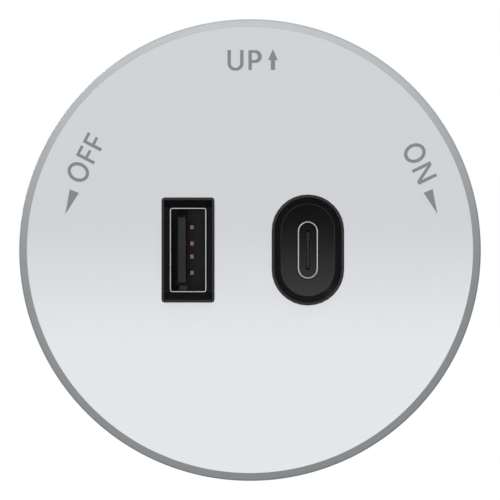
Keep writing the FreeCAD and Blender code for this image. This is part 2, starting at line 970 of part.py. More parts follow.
def transformer_winding():
    """The taped coil, with bevelled corners, between the bobbin's flanges."""
    half_x, half_z = bobbin_sleeve()
    front_y = transformer_foot_y - core_height + core_yoke + bobbin_fit + bobbin_flange
    rear_y = transformer_foot_y - core_yoke - bobbin_fit - bobbin_flange
    x, high = half_x + winding_fill, winding_depth / 2
    bevel = winding_fill / 2
    z = transformer_z()
    upper = [(x, z + high - bevel), (x - bevel, z + high), (bevel - x, z + high), (-x, z + high - bevel)]
    lower = [(-x, z - high + bevel), (bevel - x, z - high), (x - bevel, z - high), (x, z - high + bevel)]
    coil = plate(upper + lower, front_y, rear_y)
    return coil.cut(block(-half_x, half_x, front_y, rear_y, z - half_z, z + half_z))


def transformer_pin_places():
    middle = (transformer_pins - 1) / 2
    return [
        ((i - middle) * transformer_pin_spacing, transformer_z() + side * transformer_pin_row / 2)
        for side in (-1, 1)
        for i in range(transformer_pins)
    ]


def transformer_pin_bars():
    """Square pins from inside the bobbin's feet to behind the power board."""
    half = pin_side / 2
    start_y = transformer_foot_y + foot_height - pin_sink
    end_y = power_board_rear_y + pin_stub
    return [
        block(x - half, x + half, start_y, end_y, z - half, z + half)
        for x, z in transformer_pin_places()
    ]


def can(place, diameter, height):
    """A round part that stands on the front of the power board."""
    return disc(diameter / 2, power_board_front_y - height, power_board_front_y, *place)


def bulk_capacitor():
    place = (bulk_x, transformer_z() - bulk_drop)
    return can(place, bulk_diameter, bulk_height)


def output_capacitor():
    return can(output_place, output_diameter, output_height)


def line_choke():
    """A ferrite choke with square ends and a narrower waist."""
    x, z = choke_place
    width, height, depth = choke_size
    front_y = component_foot_y - height
    half = choke_waist / 2
    return joined(
        [
            body_on_board(choke_place, (width, choke_end, depth)),
            block(x - half, x + half, front_y, component_foot_y, z - half, z + half),
            block(
                x - width / 2,
                x + width / 2,
                front_y,
                front_y + choke_end,
                z - depth / 2,
                z + depth / 2,
            ),
        ]
        + feet_on_board(choke_place, width / 2)
    )


def fuse():
    body = body_on_board(fuse_place, fuse_size)
    return joined([body] + feet_on_board(fuse_place, fuse_size[0] / 2))


def feet_on_board(place, spread):
    """Two short legs under a part, down to the front of the power board."""
    x, z = place
    half = part_leg_thickness
    return [
        block(
            x + side - half, x + side + half, component_foot_y, power_board_front_y, z - half, z + half
        )
        for side in (-spread / 2, spread / 2)
    ]


def body_on_board(place, size):
    """A moulded part of (width, height off the board, depth) on the front of the power board."""
    x, z = place
    half_x, half_z = size[0] / 2, size[2] / 2
    front_y = component_foot_y - size[1]
    return block(x - half_x, x + half_x, front_y, component_foot_y, z - half_z, z + half_z)


def legs_on_board(place, size, count_per_side):
    """Flat legs from the sides of a moulded part down to the front of the power board."""
    x, z = place
    width, height, depth = size
    step = depth / count_per_side
    top_y = component_foot_y - height / 2
    legs = []
    for side in (-1, 1):
        x0, x1 = sorted((x + side * width / 2, x + side * (width / 2 + part_leg_thickness)))
        for i in range(count_per_side):
            middle = z - depth / 2 + step * (i + 0.5)
            low, high = middle - step / 6, middle + step / 6
            legs.append(block(x0, x1, top_y, power_board_front_y, low, high))
    return legs


def line_capacitor():
    """The boxed capacitor that stands just above the lower pillar."""
    width, height, depth = line_capacitor_size
    place = (0, -(shell_bore - pillar_reach - line_capacitor_gap - depth / 2))
    box = body_on_board(place, line_capacitor_size)
    return joined([box] + feet_on_board(place, width))


def safety_capacitor():
    place = (safety_capacitor_x, transformer_z() - safety_capacitor_drop)
    body = body_on_board(place, safety_capacitor_size)
    return joined([body] + feet_on_board(place, safety_capacitor_size[0] / 2))


def bridge_rectifier():
    body = body_on_board(rectifier_place, rectifier_size)
    return joined([body] + legs_on_board(rectifier_place, rectifier_size, 2))


def optocoupler():
    body = body_on_board(optocoupler_place, optocoupler_size)
    return joined([body] + legs_on_board(optocoupler_place, optocoupler_size, 2))


def control_chip():
    """A small eight-leg chip on the back of the power board."""
    x, z = chip_place
    width, height, depth = chip_size
    foot_y = power_board_rear_y + component_stand
    half_x, half_z, span = width / 2, depth / 2, chip_lead_span / 2
    pieces = [block(x - half_x, x + half_x, foot_y, foot_y + height, z - half_z, z + half_z)]
    half = chip_lead_width / 2
    lead_y = foot_y + chip_lead_rise
    for i in range(chip_lead_count):
        middle = x + (i - (chip_lead_count - 1) / 2) * chip_lead_spacing
        pieces.append(
            block(middle - half, middle + half, power_board_rear_y, lead_y, z - span, z + span)
        )
    return joined(pieces)


def barrier_sheet():
    """The insulating sheet between the mains side and the USB side."""
    high = transformer_z() - foot_depth / 2 - barrier_gap
    front_y = wall_back_y + barrier_gap / 2
    half = barrier_width / 2
    return block(-half, half, front_y, power_board_front_y, high - barrier_thickness, high)


# Rear cover


def rear_cover():
    edge = shell_bore - cover_gap
    cover = turned(
        [
            (0, cover_front_y),
            (edge, cover_front_y),
            (edge, cover_rear_y),
            (hub_radius, cover_rear_y),
            (hub_radius, flange_front_y),
            (0, flange_front_y),
        ]
    )
    half = stop_tab_width / 2
    rear_y = cover_rear_y + stop_tab_height
    stop_tab = radial_block(
        stop_circle - half, stop_circle + half, stop_tab_width, cover_front_y, rear_y, stop_tab_angle
    )
    inner, outer = shell_bore - pillar_reach, edge - cover_gap
    posts = [
        radial_block(inner, outer, pillar_width, power_board_rear_y, cover_front_y, angle)
        for angle in pillar_angles
    ]
    wide = wire_hole_width / 2
    tools = [block(-wide, wide, cover_front_y, flange_front_y, -wide, wide), click_pocket()]
    tools += snap_windows()
    for x, z in boss_places():
        tools.append(disc(screw_clearance / 2, cover_front_y, cover_rear_y, x, z))
    return cut_all(joined([cover, stop_tab] + posts), tools)


def place_on(circle, angle):
    """An (x, z) place on a circle, by its angle from +X towards +Z."""
    turn = math.radians(angle)
    return circle * math.cos(turn), circle * math.sin(turn)


def cover_screws():
    """Pan-head screws with plain shanks as wide as their pilot holes."""
    screws = []
    for x, z in boss_places():
        rear_y = cover_rear_y + screw_head_height
        head = disc(screw_head / 2, cover_rear_y, rear_y, x, z)
        shank_y = cover_rear_y - screw_length
        screws.append(joined([head, disc(screw_pilot / 2, shank_y, cover_rear_y, x, z)]))
    return Part.makeCompound(screws)


# Track base


def track_base():
    bore = hub_radius + base_running_gap
    counterbore = flange_radius + base_counterbore_gap
    ledge_y = flange_front_y - base_ledge_gap
    base = turned(
        [
            (bore, base_front_y),
            (base_radius, base_front_y),
            (base_radius, 0),
            (counterbore, 0),
            (counterbore, ledge_y),
            (bore, ledge_y),
        ]
    )
    keys = []
    half = key_width / 2
    root_y = ledge_y / 2
    for side in (-1, 1):
        profile = [
            V(side * key_inner, root_y, -half),
            V(side * key_outer, root_y, -half),
            V(side * key_outer, key_height - key_lead_in, -half),
            V(side * (key_outer - key_lead_in), key_height, -half),
            V(side * (key_inner + key_lead_in), key_height, -half),
            V(side * key_inner, key_height - key_lead_in, -half),
        ]
        keys.append(Part.Face(Part.makePolygon(profile + profile[:1])).extrude(V(0, 0, key_width)))
    base = joined([base] + keys)
    return cut_all(base, [stop_groove()] + click_notches())


def stop_groove():
    """The arc that the stop tab runs in. Its ends stop the twist at OFF and at ON."""
    half = stop_tab_width / 2 + stop_groove_gap
    inner, outer = stop_circle - half, stop_circle + half
    spare = math.degrees(math.asin(half / inner))
    y0, y1 = base_front_y - cut_past, base_front_y + stop_groove_depth
    section = [V(inner, y0, 0), V(outer, y0, 0), V(outer, y1, 0), V(inner, y1, 0)]
    face = Part.Face(Part.makePolygon(section + section[:1]))
    arc = face.revolve(TWIST_CENTRE, INTO_TRACK, twist_travel + 2 * spare)
    arc.rotate(TWIST_CENTRE, INTO_TRACK, -stop_tab_angle - spare)
    return arc


def click_notches():
    """Two bevelled notches across the base's front face, one for OFF and one for ON."""
    reach = click_spring_width / 2 + click_pocket_gap
    x = stop_circle - reach
    floor_y = base_front_y + click_notch_depth
    profile = [
        V(x, base_front_y - cut_past, -click_notch_half),
        V(x, base_front_y, -click_notch_half),
        V(x, floor_y, -click_notch_floor_half),
        V(x, floor_y, click_notch_floor_half),
        V(x, base_front_y, click_notch_half),
        V(x, base_front_y - cut_past, click_notch_half),
    ]
    notch = across_click(
        Part.Face(Part.makePolygon(profile + profile[:1])).extrude(V(2 * reach, 0, 0))
    )
    other = notch.copy()
    other.rotate(TWIST_CENTRE, INTO_TRACK, twist_travel)
    return [notch, other]


def across_click(shape):
    """Turns a piece modelled on the +X side to the click's angle."""
    turned_shape = shape.copy()
    turned_shape.rotate(TWIST_CENTRE, INTO_TRACK, -click_angle)
    return turned_shape


def click_pocket():
    half_x = click_spring_width / 2 + click_pocket_gap
    half_z = click_spring_span / 2 + click_pocket_gap
    floor_y = cover_rear_y - click_pocket_depth
    top_y = cover_rear_y + cut_past
    return across_click(
        block(stop_circle - half_x, stop_circle + half_x, floor_y, top_y, -half_z, half_z)
    )


def click_spring():
    """A bowed steel strip in the cover's pocket, with a nose that drops into the base's notches."""
    half = click_spring_span / 2
    centre_y = cover_rear_y - click_pocket_depth + click_spring_thickness / 2
    nose_y = base_front_y + click_notch_depth - click_nose_gap - click_spring_thickness / 2
    shoulder_y = cover_rear_y - click_spring_thickness
    path = [
        (-half, centre_y),
        (-half + click_spring_foot, centre_y),
        (-click_nose_half, shoulder_y),
        (-click_nose_flat_half, nose_y),
        (click_nose_flat_half, nose_y),
        (click_nose_half, shoulder_y),
        (half - click_spring_foot, centre_y),
        (half, centre_y),
    ]
    strip = bent_strip(path, click_spring_thickness, 0, click_spring_width)
    strip.rotate(TWIST_CENTRE, INTO_TRACK, -90)
    strip.translate(V(stop_circle + click_spring_width / 2, 0, 0))
    return across_click(strip)


# Locking spindle


def snap_legs():
    """Two legs from the spindle's flange through the hub, with hooks that catch the cover."""
    half = snap_leg_thickness / 2
    hook_y = cover_front_y - snap_gap
    legs = []
    for side in (-1, 1):
        low, high = sorted((side * (snap_leg_place - half), side * (snap_leg_place + half)))
        tip = hook_y - snap_hook_length
        wide = snap_leg_width / 2
        legs.append(block(-wide, wide, tip, flange_front_y, low, high))
        inner, outer = side * (snap_leg_place + half), side * (snap_leg_place + half + snap_hook)
        hook = [V(-wide, hook_y, inner), V(-wide, hook_y, outer), V(-wide, tip, inner)]
        face = Part.Face(Part.makePolygon(hook + hook[:1]))
        legs.append(face.extrude(V(snap_leg_width, 0, 0)))
    return legs


def snap_windows():
    """Room for the snap legs through the cover and its hub, with space to flex inward."""
    wide = snap_leg_width / 2 + snap_gap
    inner = snap_leg_place - snap_leg_thickness / 2 - snap_hook - snap_gap
    outer = snap_leg_place + snap_leg_thickness / 2 + snap_gap
    windows = []
    for side in (-1, 1):
        low, high = sorted((side * inner, side * outer))
        windows.append(block(-wide, wide, cover_front_y, flange_front_y, low, high))
    return windows


def wing_bar(radius, thickness, y0, y1):
    """A flat-sided bar with round ends that clear the track's inside as the spindle turns."""
    half = thickness / 2
    return disc(radius, y0, y1).common(block(-radius, radius, y0, y1, -half, half))


def spindle_body():
    room_front_y = wing_front_y + wing_wall
    neck = disc(wing_thickness / 2, flange_front_y, room_front_y)
    flange = disc(flange_radius, flange_front_y, flange_rear_y)
    wing = wing_bar(wing_radius, wing_thickness, wing_front_y, cap_front_y)
    body = joined([flange, neck, wing] + snap_legs())
    inside = wing_thickness - 2 * wing_wall
    room = block(-room_end, room_end, room_front_y, cap_front_y, -inside / 2, inside / 2)
    room = room.cut(spindle_ribs(room_front_y))
    tools = [room, disc(spindle_bore, flange_front_y, room_front_y)] + hook_windows()
    half_y = shoe_height / 2 + shoe_slide_gap
    half_z = shoe_width / 2 + shoe_slide_gap
    for side, y in ((1, live_y), (1, neutral_y), (-1, earth_y)):
        x0, x1 = sorted((side * (wing_radius - 2 * wing_wall), side * (wing_radius + cut_past)))
        tools.append(block(x0, x1, y - half_y, y + half_y, -half_z, half_z))
    return cut_all(body, tools)


def hook_bump_span():
    """Where the catch of each hook lies along the twist axis."""
    start_y = cap_front_y - (hook_lip_length + hook_bump_length) / 2
    return start_y, start_y + hook_bump_length


def spindle_ribs(room_front_y):
    """Ribs inside the spindle: one behind each contact spring and one between the two lines."""
    half = wing_thickness / 2 - wing_wall
    near, far = spring_rib_x, spring_rib_x + spring_rib_thickness
    middle_y = (live_y + neutral_y) / 2
    low, high = middle_y - divider_thickness / 2, middle_y + divider_thickness / 2
    return [
        block(near, far, room_front_y, middle_y, -half, spring_rib_reach),
        block(near, far, middle_y, cap_front_y, -spring_rib_reach, half),
        block(near, room_end, low, high, -half, half),
        block(-far, -near, room_front_y, cap_front_y, -half, spring_rib_reach),
    ]


def hook_windows():
    """Windows in the spindle's flat sides that the tip's hooks click into."""
    half = wing_thickness / 2
    y0, y1 = hook_bump_span()
    wide = hook_half_width - hook_lip + hook_gap
    windows = []
    for side in (-1, 1):
        low, high = sorted((side * (half - wing_wall - hook_gap / 2), side * (half + cut_past)))
        windows.append(block(-wide, wide, y0 - hook_gap, y1 + hook_gap, low, high))
    return windows


def spindle_tip():
    half = wing_thickness / 2
    cap = wing_bar(wing_radius, wing_thickness, cap_front_y, tip_y)
    top_edges = [
        e
        for e in cap.Edges
        if abs(e.BoundBox.YMin - tip_y) < SAME_PLACE and abs(e.BoundBox.YMax - tip_y) < SAME_PLACE
    ]
    parts = [cap.makeChamfer(tip_chamfer, top_edges)]
    start_y = cap_front_y - hook_lip_length
    y0, y1 = hook_bump_span()
    inside = half - wing_wall - hook_gap
    wide = hook_half_width - hook_lip
    for side in (-1, 1):
        low, high = sorted((side * inside, side * (inside - hook_lip)))
        parts.append(
            block(-hook_half_width, hook_half_width, start_y, cap_front_y, low, high)
        )
        profile = [
            V(-wide, y0, side * (inside - hook_lip / 2)),
            V(-wide, y0, side * inside),
            V(-wide, y1 - hook_lead_in, side * (inside + hook_bump)),
            V(-wide, y1, side * (inside + hook_bump)),
            V(-wide, y1, side * (inside - hook_lip / 2)),
        ]
        face = Part.Face(Part.makePolygon(profile + profile[:1]))
        parts.append(face.extrude(V(2 * wide, 0, 0)))
    return joined(parts)


# Contacts, springs and leads


def contact_shoe(side, y, tail_side):
    """A sliding contact: a round nose through the spindle's end, a shoulder and a solder tail."""
    back = shoulder_x - shoe_shoulder_length
    radius = shoe_height / 2
    nose_end = wing_radius + shoe_reach - radius
    nose_z = shoe_width / 2
    nose = block(back, nose_end, y - radius, y + radius, -nose_z, nose_z)
    round_nose = Part.makeCylinder(radius, shoe_width, V(nose_end, y, -nose_z), V(0, 0, 1))
    half_y, half_z = shoe_shoulder_height / 2, shoe_shoulder_width / 2
    shoulder = block(back, shoulder_x, y - half_y, y + half_y, -half_z, half_z)
    tail_z = tail_side * lead_place
    half_tail, half_sheet = shoe_tail_width / 2, shoe_tail_thickness / 2
    tail = block(
        back - shoe_tail_length,
        back,
        y - half_tail,
        y + half_tail,
        tail_z - half_sheet,
        tail_z + half_sheet,
    )
    shoe = joined([nose, round_nose, shoulder, tail])
    return shoe if side > 0 else shoe.mirror(TWIST_CENTRE, V(1, 0, 0))


def contact_spring(side, y, tail_side):
    """A Z-shaped leaf between the spindle's rib and the back of a contact."""
    centre_inset = spring_seat_gap + spring_sheet / 2
    near = spring_rib_x + spring_rib_thickness + centre_inset
    far = shoulder_x - shoe_shoulder_length - centre_inset
    half = spring_height / 2
    path = [(near, y - half), (near, y + half), (far, y - half), (far, y + half)]
    z_middle = -tail_side * (lead_place + lead_width / 2 - spring_width / 2) / 2
    half_width = spring_width / 2
    leaf = bent_strip(path, spring_sheet, z_middle - half_width, z_middle + half_width)
    return leaf if side > 0 else leaf.mirror(TWIST_CENTRE, V(1, 0, 0))


def contact_lead(side, y, tail_side):
    """An insulated flat lead from a contact's tail, round one bend, to the power board."""
    tail_end = shoulder_x - shoe_shoulder_length - shoe_tail_length
    centre = V(lead_place + lead_bend_radius, y - lead_bend_radius, 0)
    ends = []
    for radius in (lead_bend_radius + lead_thickness / 2, lead_bend_radius - lead_thickness / 2):
        slant = radius * math.sqrt(0.5)
        top = centre + V(0, radius, 0)
        low = centre + V(-radius, 0, 0)
        bend = Part.Arc(top, centre + V(-slant, slant, 0), low).toShape()
        ends.append((V(tail_end, top.y, 0), top, bend, low, V(low.x, power_board_rear_y, 0)))
    outer, inner = ends
    edges = [
        line(outer[0], outer[1]),
        outer[2],
        line(outer[3], outer[4]),
        line(outer[4], inner[4]),
        line(inner[4], inner[3]),
        inner[2],
        line(inner[1], inner[0]),
        line(inner[0], outer[0]),
    ]
    lead = Part.Face(Part.Wire(edges)).extrude(V(0, 0, lead_width))
    lead.translate(V(0, 0, tail_side * lead_place - lead_width / 2))
    return lead if side > 0 else lead.mirror(TWIST_CENTRE, V(1, 0, 0))


def line(start, end):
    return Part.LineSegment(start, end).toShape()


def parts():
    """Every node's name and solids."""
    live = (1, live_y, 1)
    neutral = (1, neutral_y, -1)
    earth = (-1, earth_y, 1)
    return {
        "face_plate": face_plate(),
        "face_pads": face_pads(),
        "outer_shell": outer_shell(),
        "usb_a_bezel": usb_a_bezel(),
        "usb_c_bezel": usb_c_bezel(),
        "usb_a_shell": usb_a_shell(),
        "usb_a_insulator": usb_a_insulator(),
        "usb_a_contacts": usb_a_contacts(),
        "usb_c_shell": usb_c_shell(),
        "usb_c_insulator": usb_c_insulator(),
        "usb_c_contacts": usb_c_contacts(),
        "usb_board": usb_board(),
        "header_block": header_block(),
        "board_pins": board_pins(),
        "power_board": power_board(),
        "transformer_core": transformer_core(),
        "transformer_bobbin": transformer_bobbin(),
        "transformer_winding": transformer_winding(),
        "transformer_pins": Part.makeCompound(transformer_pin_bars()),
        "bulk_capacitor": bulk_capacitor(),
        "output_capacitor": output_capacitor(),
        "line_choke": line_choke(),
        "fuse": fuse(),
        "line_capacitor": line_capacitor(),
        "safety_capacitor": safety_capacitor(),
        "bridge_rectifier": bridge_rectifier(),
        "optocoupler": optocoupler(),
        "control_chip": control_chip(),
        "barrier_sheet": barrier_sheet(),
        "rear_cover": rear_cover(),
        "cover_screws": cover_screws(),
        "click_spring": click_spring(),
        "track_base": track_base(),
        "spindle_body": spindle_body(),
        "spindle_tip": spindle_tip(),
        "live_contact": contact_shoe(*live),
        "neutral_contact": contact_shoe(*neutral),
        "earth_contact": contact_shoe(*earth),
        "live_spring": contact_spring(*live),
        "neutral_spring": contact_spring(*neutral),
        "earth_spring": contact_spring(*earth),
        "live_lead": contact_lead(*live),
        "neutral_lead": contact_lead(*neutral),
        "earth_lead": contact_lead(*earth),
    }


def main():
    os.makedirs("parts", exist_ok=True)
    for name, shape in parts().items():
        if not shape.isValid() or not shape.Solids:
            print("fault in", name, "valid", shape.isValid(), "solids", len(shape.Solids))
        shape.exportStep("parts/" + name + ".step")


main()
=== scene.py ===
"""The visible model of a twist-in USB socket for a wall track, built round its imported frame."""

import math

import bmesh
import bpy
from bpy.props import FloatProperty, FloatVectorProperty, PointerProperty
from mathutils import Matrix, Vector


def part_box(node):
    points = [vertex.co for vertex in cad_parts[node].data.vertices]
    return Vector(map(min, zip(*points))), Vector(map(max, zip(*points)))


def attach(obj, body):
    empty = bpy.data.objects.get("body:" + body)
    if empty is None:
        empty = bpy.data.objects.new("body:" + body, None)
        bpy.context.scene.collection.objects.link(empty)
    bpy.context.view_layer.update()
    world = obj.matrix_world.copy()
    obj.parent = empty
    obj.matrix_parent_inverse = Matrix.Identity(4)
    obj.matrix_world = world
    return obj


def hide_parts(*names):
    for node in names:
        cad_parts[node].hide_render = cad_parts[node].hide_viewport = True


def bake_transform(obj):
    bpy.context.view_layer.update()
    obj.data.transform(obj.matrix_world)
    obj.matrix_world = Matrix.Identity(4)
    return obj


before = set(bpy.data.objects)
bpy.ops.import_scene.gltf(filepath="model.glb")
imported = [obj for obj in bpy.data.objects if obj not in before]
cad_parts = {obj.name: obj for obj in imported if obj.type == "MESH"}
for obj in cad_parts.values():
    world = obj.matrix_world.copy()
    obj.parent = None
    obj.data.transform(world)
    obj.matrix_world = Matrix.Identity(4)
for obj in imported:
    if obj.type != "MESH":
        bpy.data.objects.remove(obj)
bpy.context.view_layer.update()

bl_info = {
    "name": "Track USB socket",
    "version": (1, 0, 0),
    "blender": (4, 5, 0),
    "location": "View3D > Sidebar > Track socket",
    "description": "Builds the visible model of a twist-in USB socket for a wall track",
    "category": "Add Mesh",
}

# Units, directions and the places that the frame gives

MM = 0.001
TINY = 0.001 * MM
SAME_POINT = 1e-7
TWIST_AXIS = Vector((0.0, 1.0, 0.0))
CENTRE = Vector((0.0, 0.0, 0.0))
UNTURNED = (1.0, 1.0, 1.0)

# The photograph's frame and the stage

PICTURE_WIDTH = 500
PIXELS_PER_METRE = 6508.0
SENSOR_WIDTH = 36.0
CAMERA_DISTANCE = 2.0
CARD_DISTANCE = 0.8
CARD_HALF = 0.15
FLOOR_RADIUS = 0.5
FLOOR_DROP = 0.15
FLOOR_FADE = (0.1, 0.4)
FLOOR_ROUGHNESS = 0.9
FLOOR_LIT_LEVEL = 110
FLOOR_SEEN_LEVEL = 162

# How finely rounds are drawn, and the angles in degrees that count as flat, sharp or an edge

ROUND_STEPS = 256
FLOOR_STEPS = 96
OVAL_STEPS = 64
SCREW_STEPS = 48
ARC_STEPS = 16
CORNER_STEPS = 8
DOME_STEPS = 8
LIP_STEPS = 4
RIM_STEPS = 5
REAR_RIM_STEPS = 4
FLAT_ANGLE = 0.5
FACE_CREASE = 15.0
CREASE = 28.0
RIM_ANGLE = 60.0

# How squarely a face that takes another finish looks along the twist axis

FLOOR_FACING = 0.999
BEAD_FACING = 0.99
SLOPE_FACING = 0.7
# Painted shade: insulator faces that turn between these take the pocket's black.
TONGUE_SHADED_SIDES = (-0.97, 0.5)

# The finishes' grain

NOISE_LOW, NOISE_HIGH = 0.3, 0.7
FINE_DETAIL = 3.0
BROAD_DETAIL = 2.0
BROAD_GRAIN = 12
GLOSS_SPREAD = 0.1

# Small sizes of the pockets, the ports and the back

CORNER_SHARE = 0.4995
RECESS_TAPER = 0.65
LIP_CREST = 0.7
LIP_FOOT = 0.12 * MM
SMALL_CORNER = 0.08 * MM
FLANGE_CORNER = 0.3 * MM
WINDOW_CORNER = 0.3 * MM
PORT_ROOM = 0.9 * MM
PORT_GAP = 0.12 * MM
PORT_SHEET = 0.3 * MM
PORT_A_CORNER = 0.57 * MM
SHEET_EASING = 0.04 * MM
INSULATOR_FIT = 0.02 * MM
A_SHELL_CORNER = 0.45 * MM
SHEET_OPENING = 0.1 * MM
SHEET_THINNING = 0.065 * MM
A_SHEET_END_TRIM = 0.02 * MM
C_SHEET_END_TRIM = 0.035 * MM
FACE_FIT = 0.004 * MM
EDGE_RISE = 0.4
FINGER_ROOT = 2.4 * MM
FINGER_LENGTH = 1.36 * MM
FINGER_BACK = 0.33 * MM
FINGER_TIP = 1.01
A_BASE_DEPTH = 8.65 * MM
A_SLOT_X = -1.38 * MM
A_SLOT_Z = 5.45 * MM
A_SLOT_WIDTH = 1.2 * MM
A_SLOT_DEPTH = 1.8 * MM
A_CONTACT_BEND = 0.72 * MM
A_BEND_REACH = 0.25 * MM
A_BEND_SHIFT = 0.07 * MM
# Width of the painted black shadow strip on each contact, just before its bend.
A_CONTACT_SHADOW_STRIP = 0.21 * MM
A_CONTACT_ROWS = (1.0 * MM, 3.5 * MM)
A_CONTACT_NARROWING = 0.875
A_CONTACT_TRIM = 0.1 * MM
A_TONGUE_TRIM = 0.08 * MM
A_TONGUE_END_TRIM = 0.06 * MM
SPRING_FOOT = 0.3 * MM
LEAD_BEND = 2.6 * MM
C_TONGUE_LENGTH = 5.0 * MM
C_TONGUE_TIP = 0.34 * MM
C_TONGUE_HALF = 3.03 * MM
C_CONTACT_FACE = 0.305 * MM


def low(node):
    """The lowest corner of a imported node."""
    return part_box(node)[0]


def high(node):
    """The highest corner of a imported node."""
    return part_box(node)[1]


def middle(node):
    """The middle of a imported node."""
    return (low(node) + high(node)) / 2


def reach(node):
    """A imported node's size along X, Y and Z."""
    return high(node) - low(node)


FACE_Y = low("face_plate").y
FACE_BACK_Y = high("face_plate").y
BODY_RADIUS = high("outer_shell").x
BODY_REAR_Y = high("outer_shell").y
POCKET_FRONT_Y = low("usb_a_bezel").y
POCKET_REAR_Y = high("usb_a_bezel").y
PORT_A_X = middle("usb_a_shell").x
PORT_C_X = middle("usb_c_shell").x
PORT_A_HEIGHT = reach("usb_a_insulator").z + 2 * PORT_SHEET


def linear(*levels):
    """A colour in linear light from 0 to 255 screen levels."""
    shares = [level / 255 for level in levels]
    bent = [s / 12.92 if s <= 0.04045 else ((s + 0.055) / 1.055) ** 2.4 for s in shares]
    return (*bent, 1.0)


# Sizes, colours and light that a user would change


def length(name, description, default):
    """A length in millimetres as a property."""
    return FloatProperty(
        name=name,
        description=description,
        default=default * MM,
        unit="LENGTH",
        subtype="DISTANCE",
        precision=4,
    )


def colour(name, description, *levels):
    """A colour from screen levels as a property."""
    return FloatVectorProperty(
        name=name,
        description=description,
        default=linear(*levels),
        size=4,
        min=0.0,
        max=1.0,
        subtype="COLOR",
    )


def amount(name, description, default):
    """A plain number as a property."""
    return FloatProperty(name=name, description=description, default=default, min=0.0)


class DrumSizes(bpy.types.PropertyGroup):
    """Sizes of the face and the drum."""

    rim_width: length("Rim width", "Width of the drum's front chamfer, seen from the front", 1.22)
    rim_depth: length("Rim depth", "Depth of the drum's front chamfer", 1.1)
    rim_rounding: length("Rim rounding", "Rounding between the chamfer and the drum's side", 0.3)
    face_easing: length("Face easing", "Eased edge of the face plate", 0.015)
    wall_front: length("Seat depth", "Depth of the drum's front wall under the face", 1.7)
    wall_back: length("Wall depth", "Depth of the back of the drum's front wall", 3.9)
    side_wall: length("Side wall", "Thickness of the drum's side wall", 2.1)


class PocketSizes(bpy.types.PropertyGroup):
    """Sizes of the two black port pockets."""

    a_width: length("USB A width", "Width of the USB A pocket", 8.1)
    a_height: length("USB A height", "Height of the USB A pocket", 16.1)
    a_corner: length("USB A corner", "Corner radius of the USB A pocket", 0.5)
    a_lip: length("USB A lip", "Width of the USB A pocket's lip", 0.43)
    a_ramp: length("USB A ramp", "Run of the ramps at the pocket's top and bottom", 1.2)
    a_floor: length("USB A depth", "Depth of the USB A pocket's floor", 1.5)
    a_bead: length("USB A bead", "Fine edge at the foot of each ramp", 0.06)
    c_width: length("USB C width", "Width of the USB C pocket", 11.1)
    c_height: length("USB C height", "Height of the USB C pocket", 17.0)
    c_lip: length("USB C lip", "Width of the USB C pocket's lip", 0.46)
    c_slope: length("USB C slope", "Width of the pocket's sloping wall", 0.96)
    c_floor: length("USB C depth", "Depth of the USB C pocket's floor", 1.6)
    c_edge: length("USB C floor edge", "Fine edge between the slope and the floor", 0.08)
    flange: length("Flange", "How far a pocket's flange stands out behind the face", 1.4)
    window_gap: length("Window gap", "Gap between a pocket and the face plate", 0.03)


class ScrewSizes(bpy.types.PropertyGroup):
    """Sizes of the rear cover's screws."""

    head: length("Head", "Diameter of the head", 4.6)
    head_height: length("Head height", "Height of the head", 1.5)
    crown: length("Crown", "Diameter of the head's flat top", 2.9)
    dome: length("Dome", "Height of the head's rounding", 0.9)
    shank: length("Shank", "Diameter of the shank", 2.2)
    recess_arm: length("Recess arm", "Length of one arm of the cross recess", 1.2)
    recess_width: length("Recess width", "Width of the cross recess's arms", 0.55)
    recess_depth: length("Recess depth", "Depth of the cross recess", 0.9)


class MarkSizes(bpy.types.PropertyGroup):
    """Sizes of the printed marks."""

    ink: length("Ink", "Height of the ink above the face", 0.008)


class SocketColours(bpy.types.PropertyGroup):
    """Colours of the finishes."""

    face: colour("Face", "Satin silver of the face plate", 218, 220, 224)
    rim: colour("Rim", "Satin silver of the drum", 149, 152, 154)
    # Painted shade: this darker silver on the rim's rounding stands in for the shade along the
    # drum's outer edge.
    edge: colour("Rim edge", "Silver of the rounding at the edge of the rim", 133, 136, 138)
    pocket: colour("Pocket", "Black plastic of the pockets", 14, 14, 15)
    ink: colour("Ink", "Grey ink of the marks", 123, 125, 127)
    steel: colour("Steel", "Bright metal of the connectors", 240, 242, 244)
    gold: colour("Gold", "Plating of the USB contacts", 168, 136, 127)
    copper: colour("Copper", "Metal of the track contacts", 214, 150, 110)
    rear: colour("Rear plastic", "Black plastic of the back", 30, 30, 31)
    spindle: colour("Spindle", "Grey plastic of the spindle", 88, 90, 92)


class StudioLight(bpy.types.PropertyGroup):
    """Strength of the light."""

    front: amount("Front light", "Light on the face, as a share of white", 0.565)
    key: amount("Key light", "Small light from the upper left, which the gloss shows", 0.15)
    top: amount("Top light", "Light from above, as a share of white", 1.56)
    left: amount("Left back light", "Light on the back and the left side", 0.9)
    right: amount("Right back light", "Light on the back and the right side", 0.4)
    room: amount("Room light", "Even light from the room, as a share of white", 0.35)
    card: amount("Card light", "Brightness of the foot of the reflected card", 0.84)
    grade_top: length("Card grade top", "Height on the face where the card's glow begins", 3.7)
    grade_bottom: length("Card grade foot", "Height on the face where it is full", -13.6)


def settings():
    """The scene's values for the socket."""
    return bpy.context.scene.track_socket


# Finishes


def new_material(name, kind="BsdfPrincipled"):
    """An empty material with a shader and its output."""
    material = bpy.data.materials.new(name)
    material.use_nodes = True
    tree = material.node_tree
    tree.nodes.clear()
    shader = add_node(tree, kind)
    add_node(tree, "OutputMaterial", {"Surface": shader.outputs[0]})
    return material, shader


def add_node(tree, kind, inputs=None, **facts):
    """A new node with its facts set, and each input joined to a socket or given a value."""
    node = tree.nodes.new(f"ShaderNode{kind}")
    for fact, value in facts.items():
        setattr(node, fact, value)
    for name, value in (inputs or {}).items():
        if isinstance(value, bpy.types.NodeSocket):
            tree.links.new(value, node.inputs[name])
        else:
            node.inputs[name].default_value = value
    return node


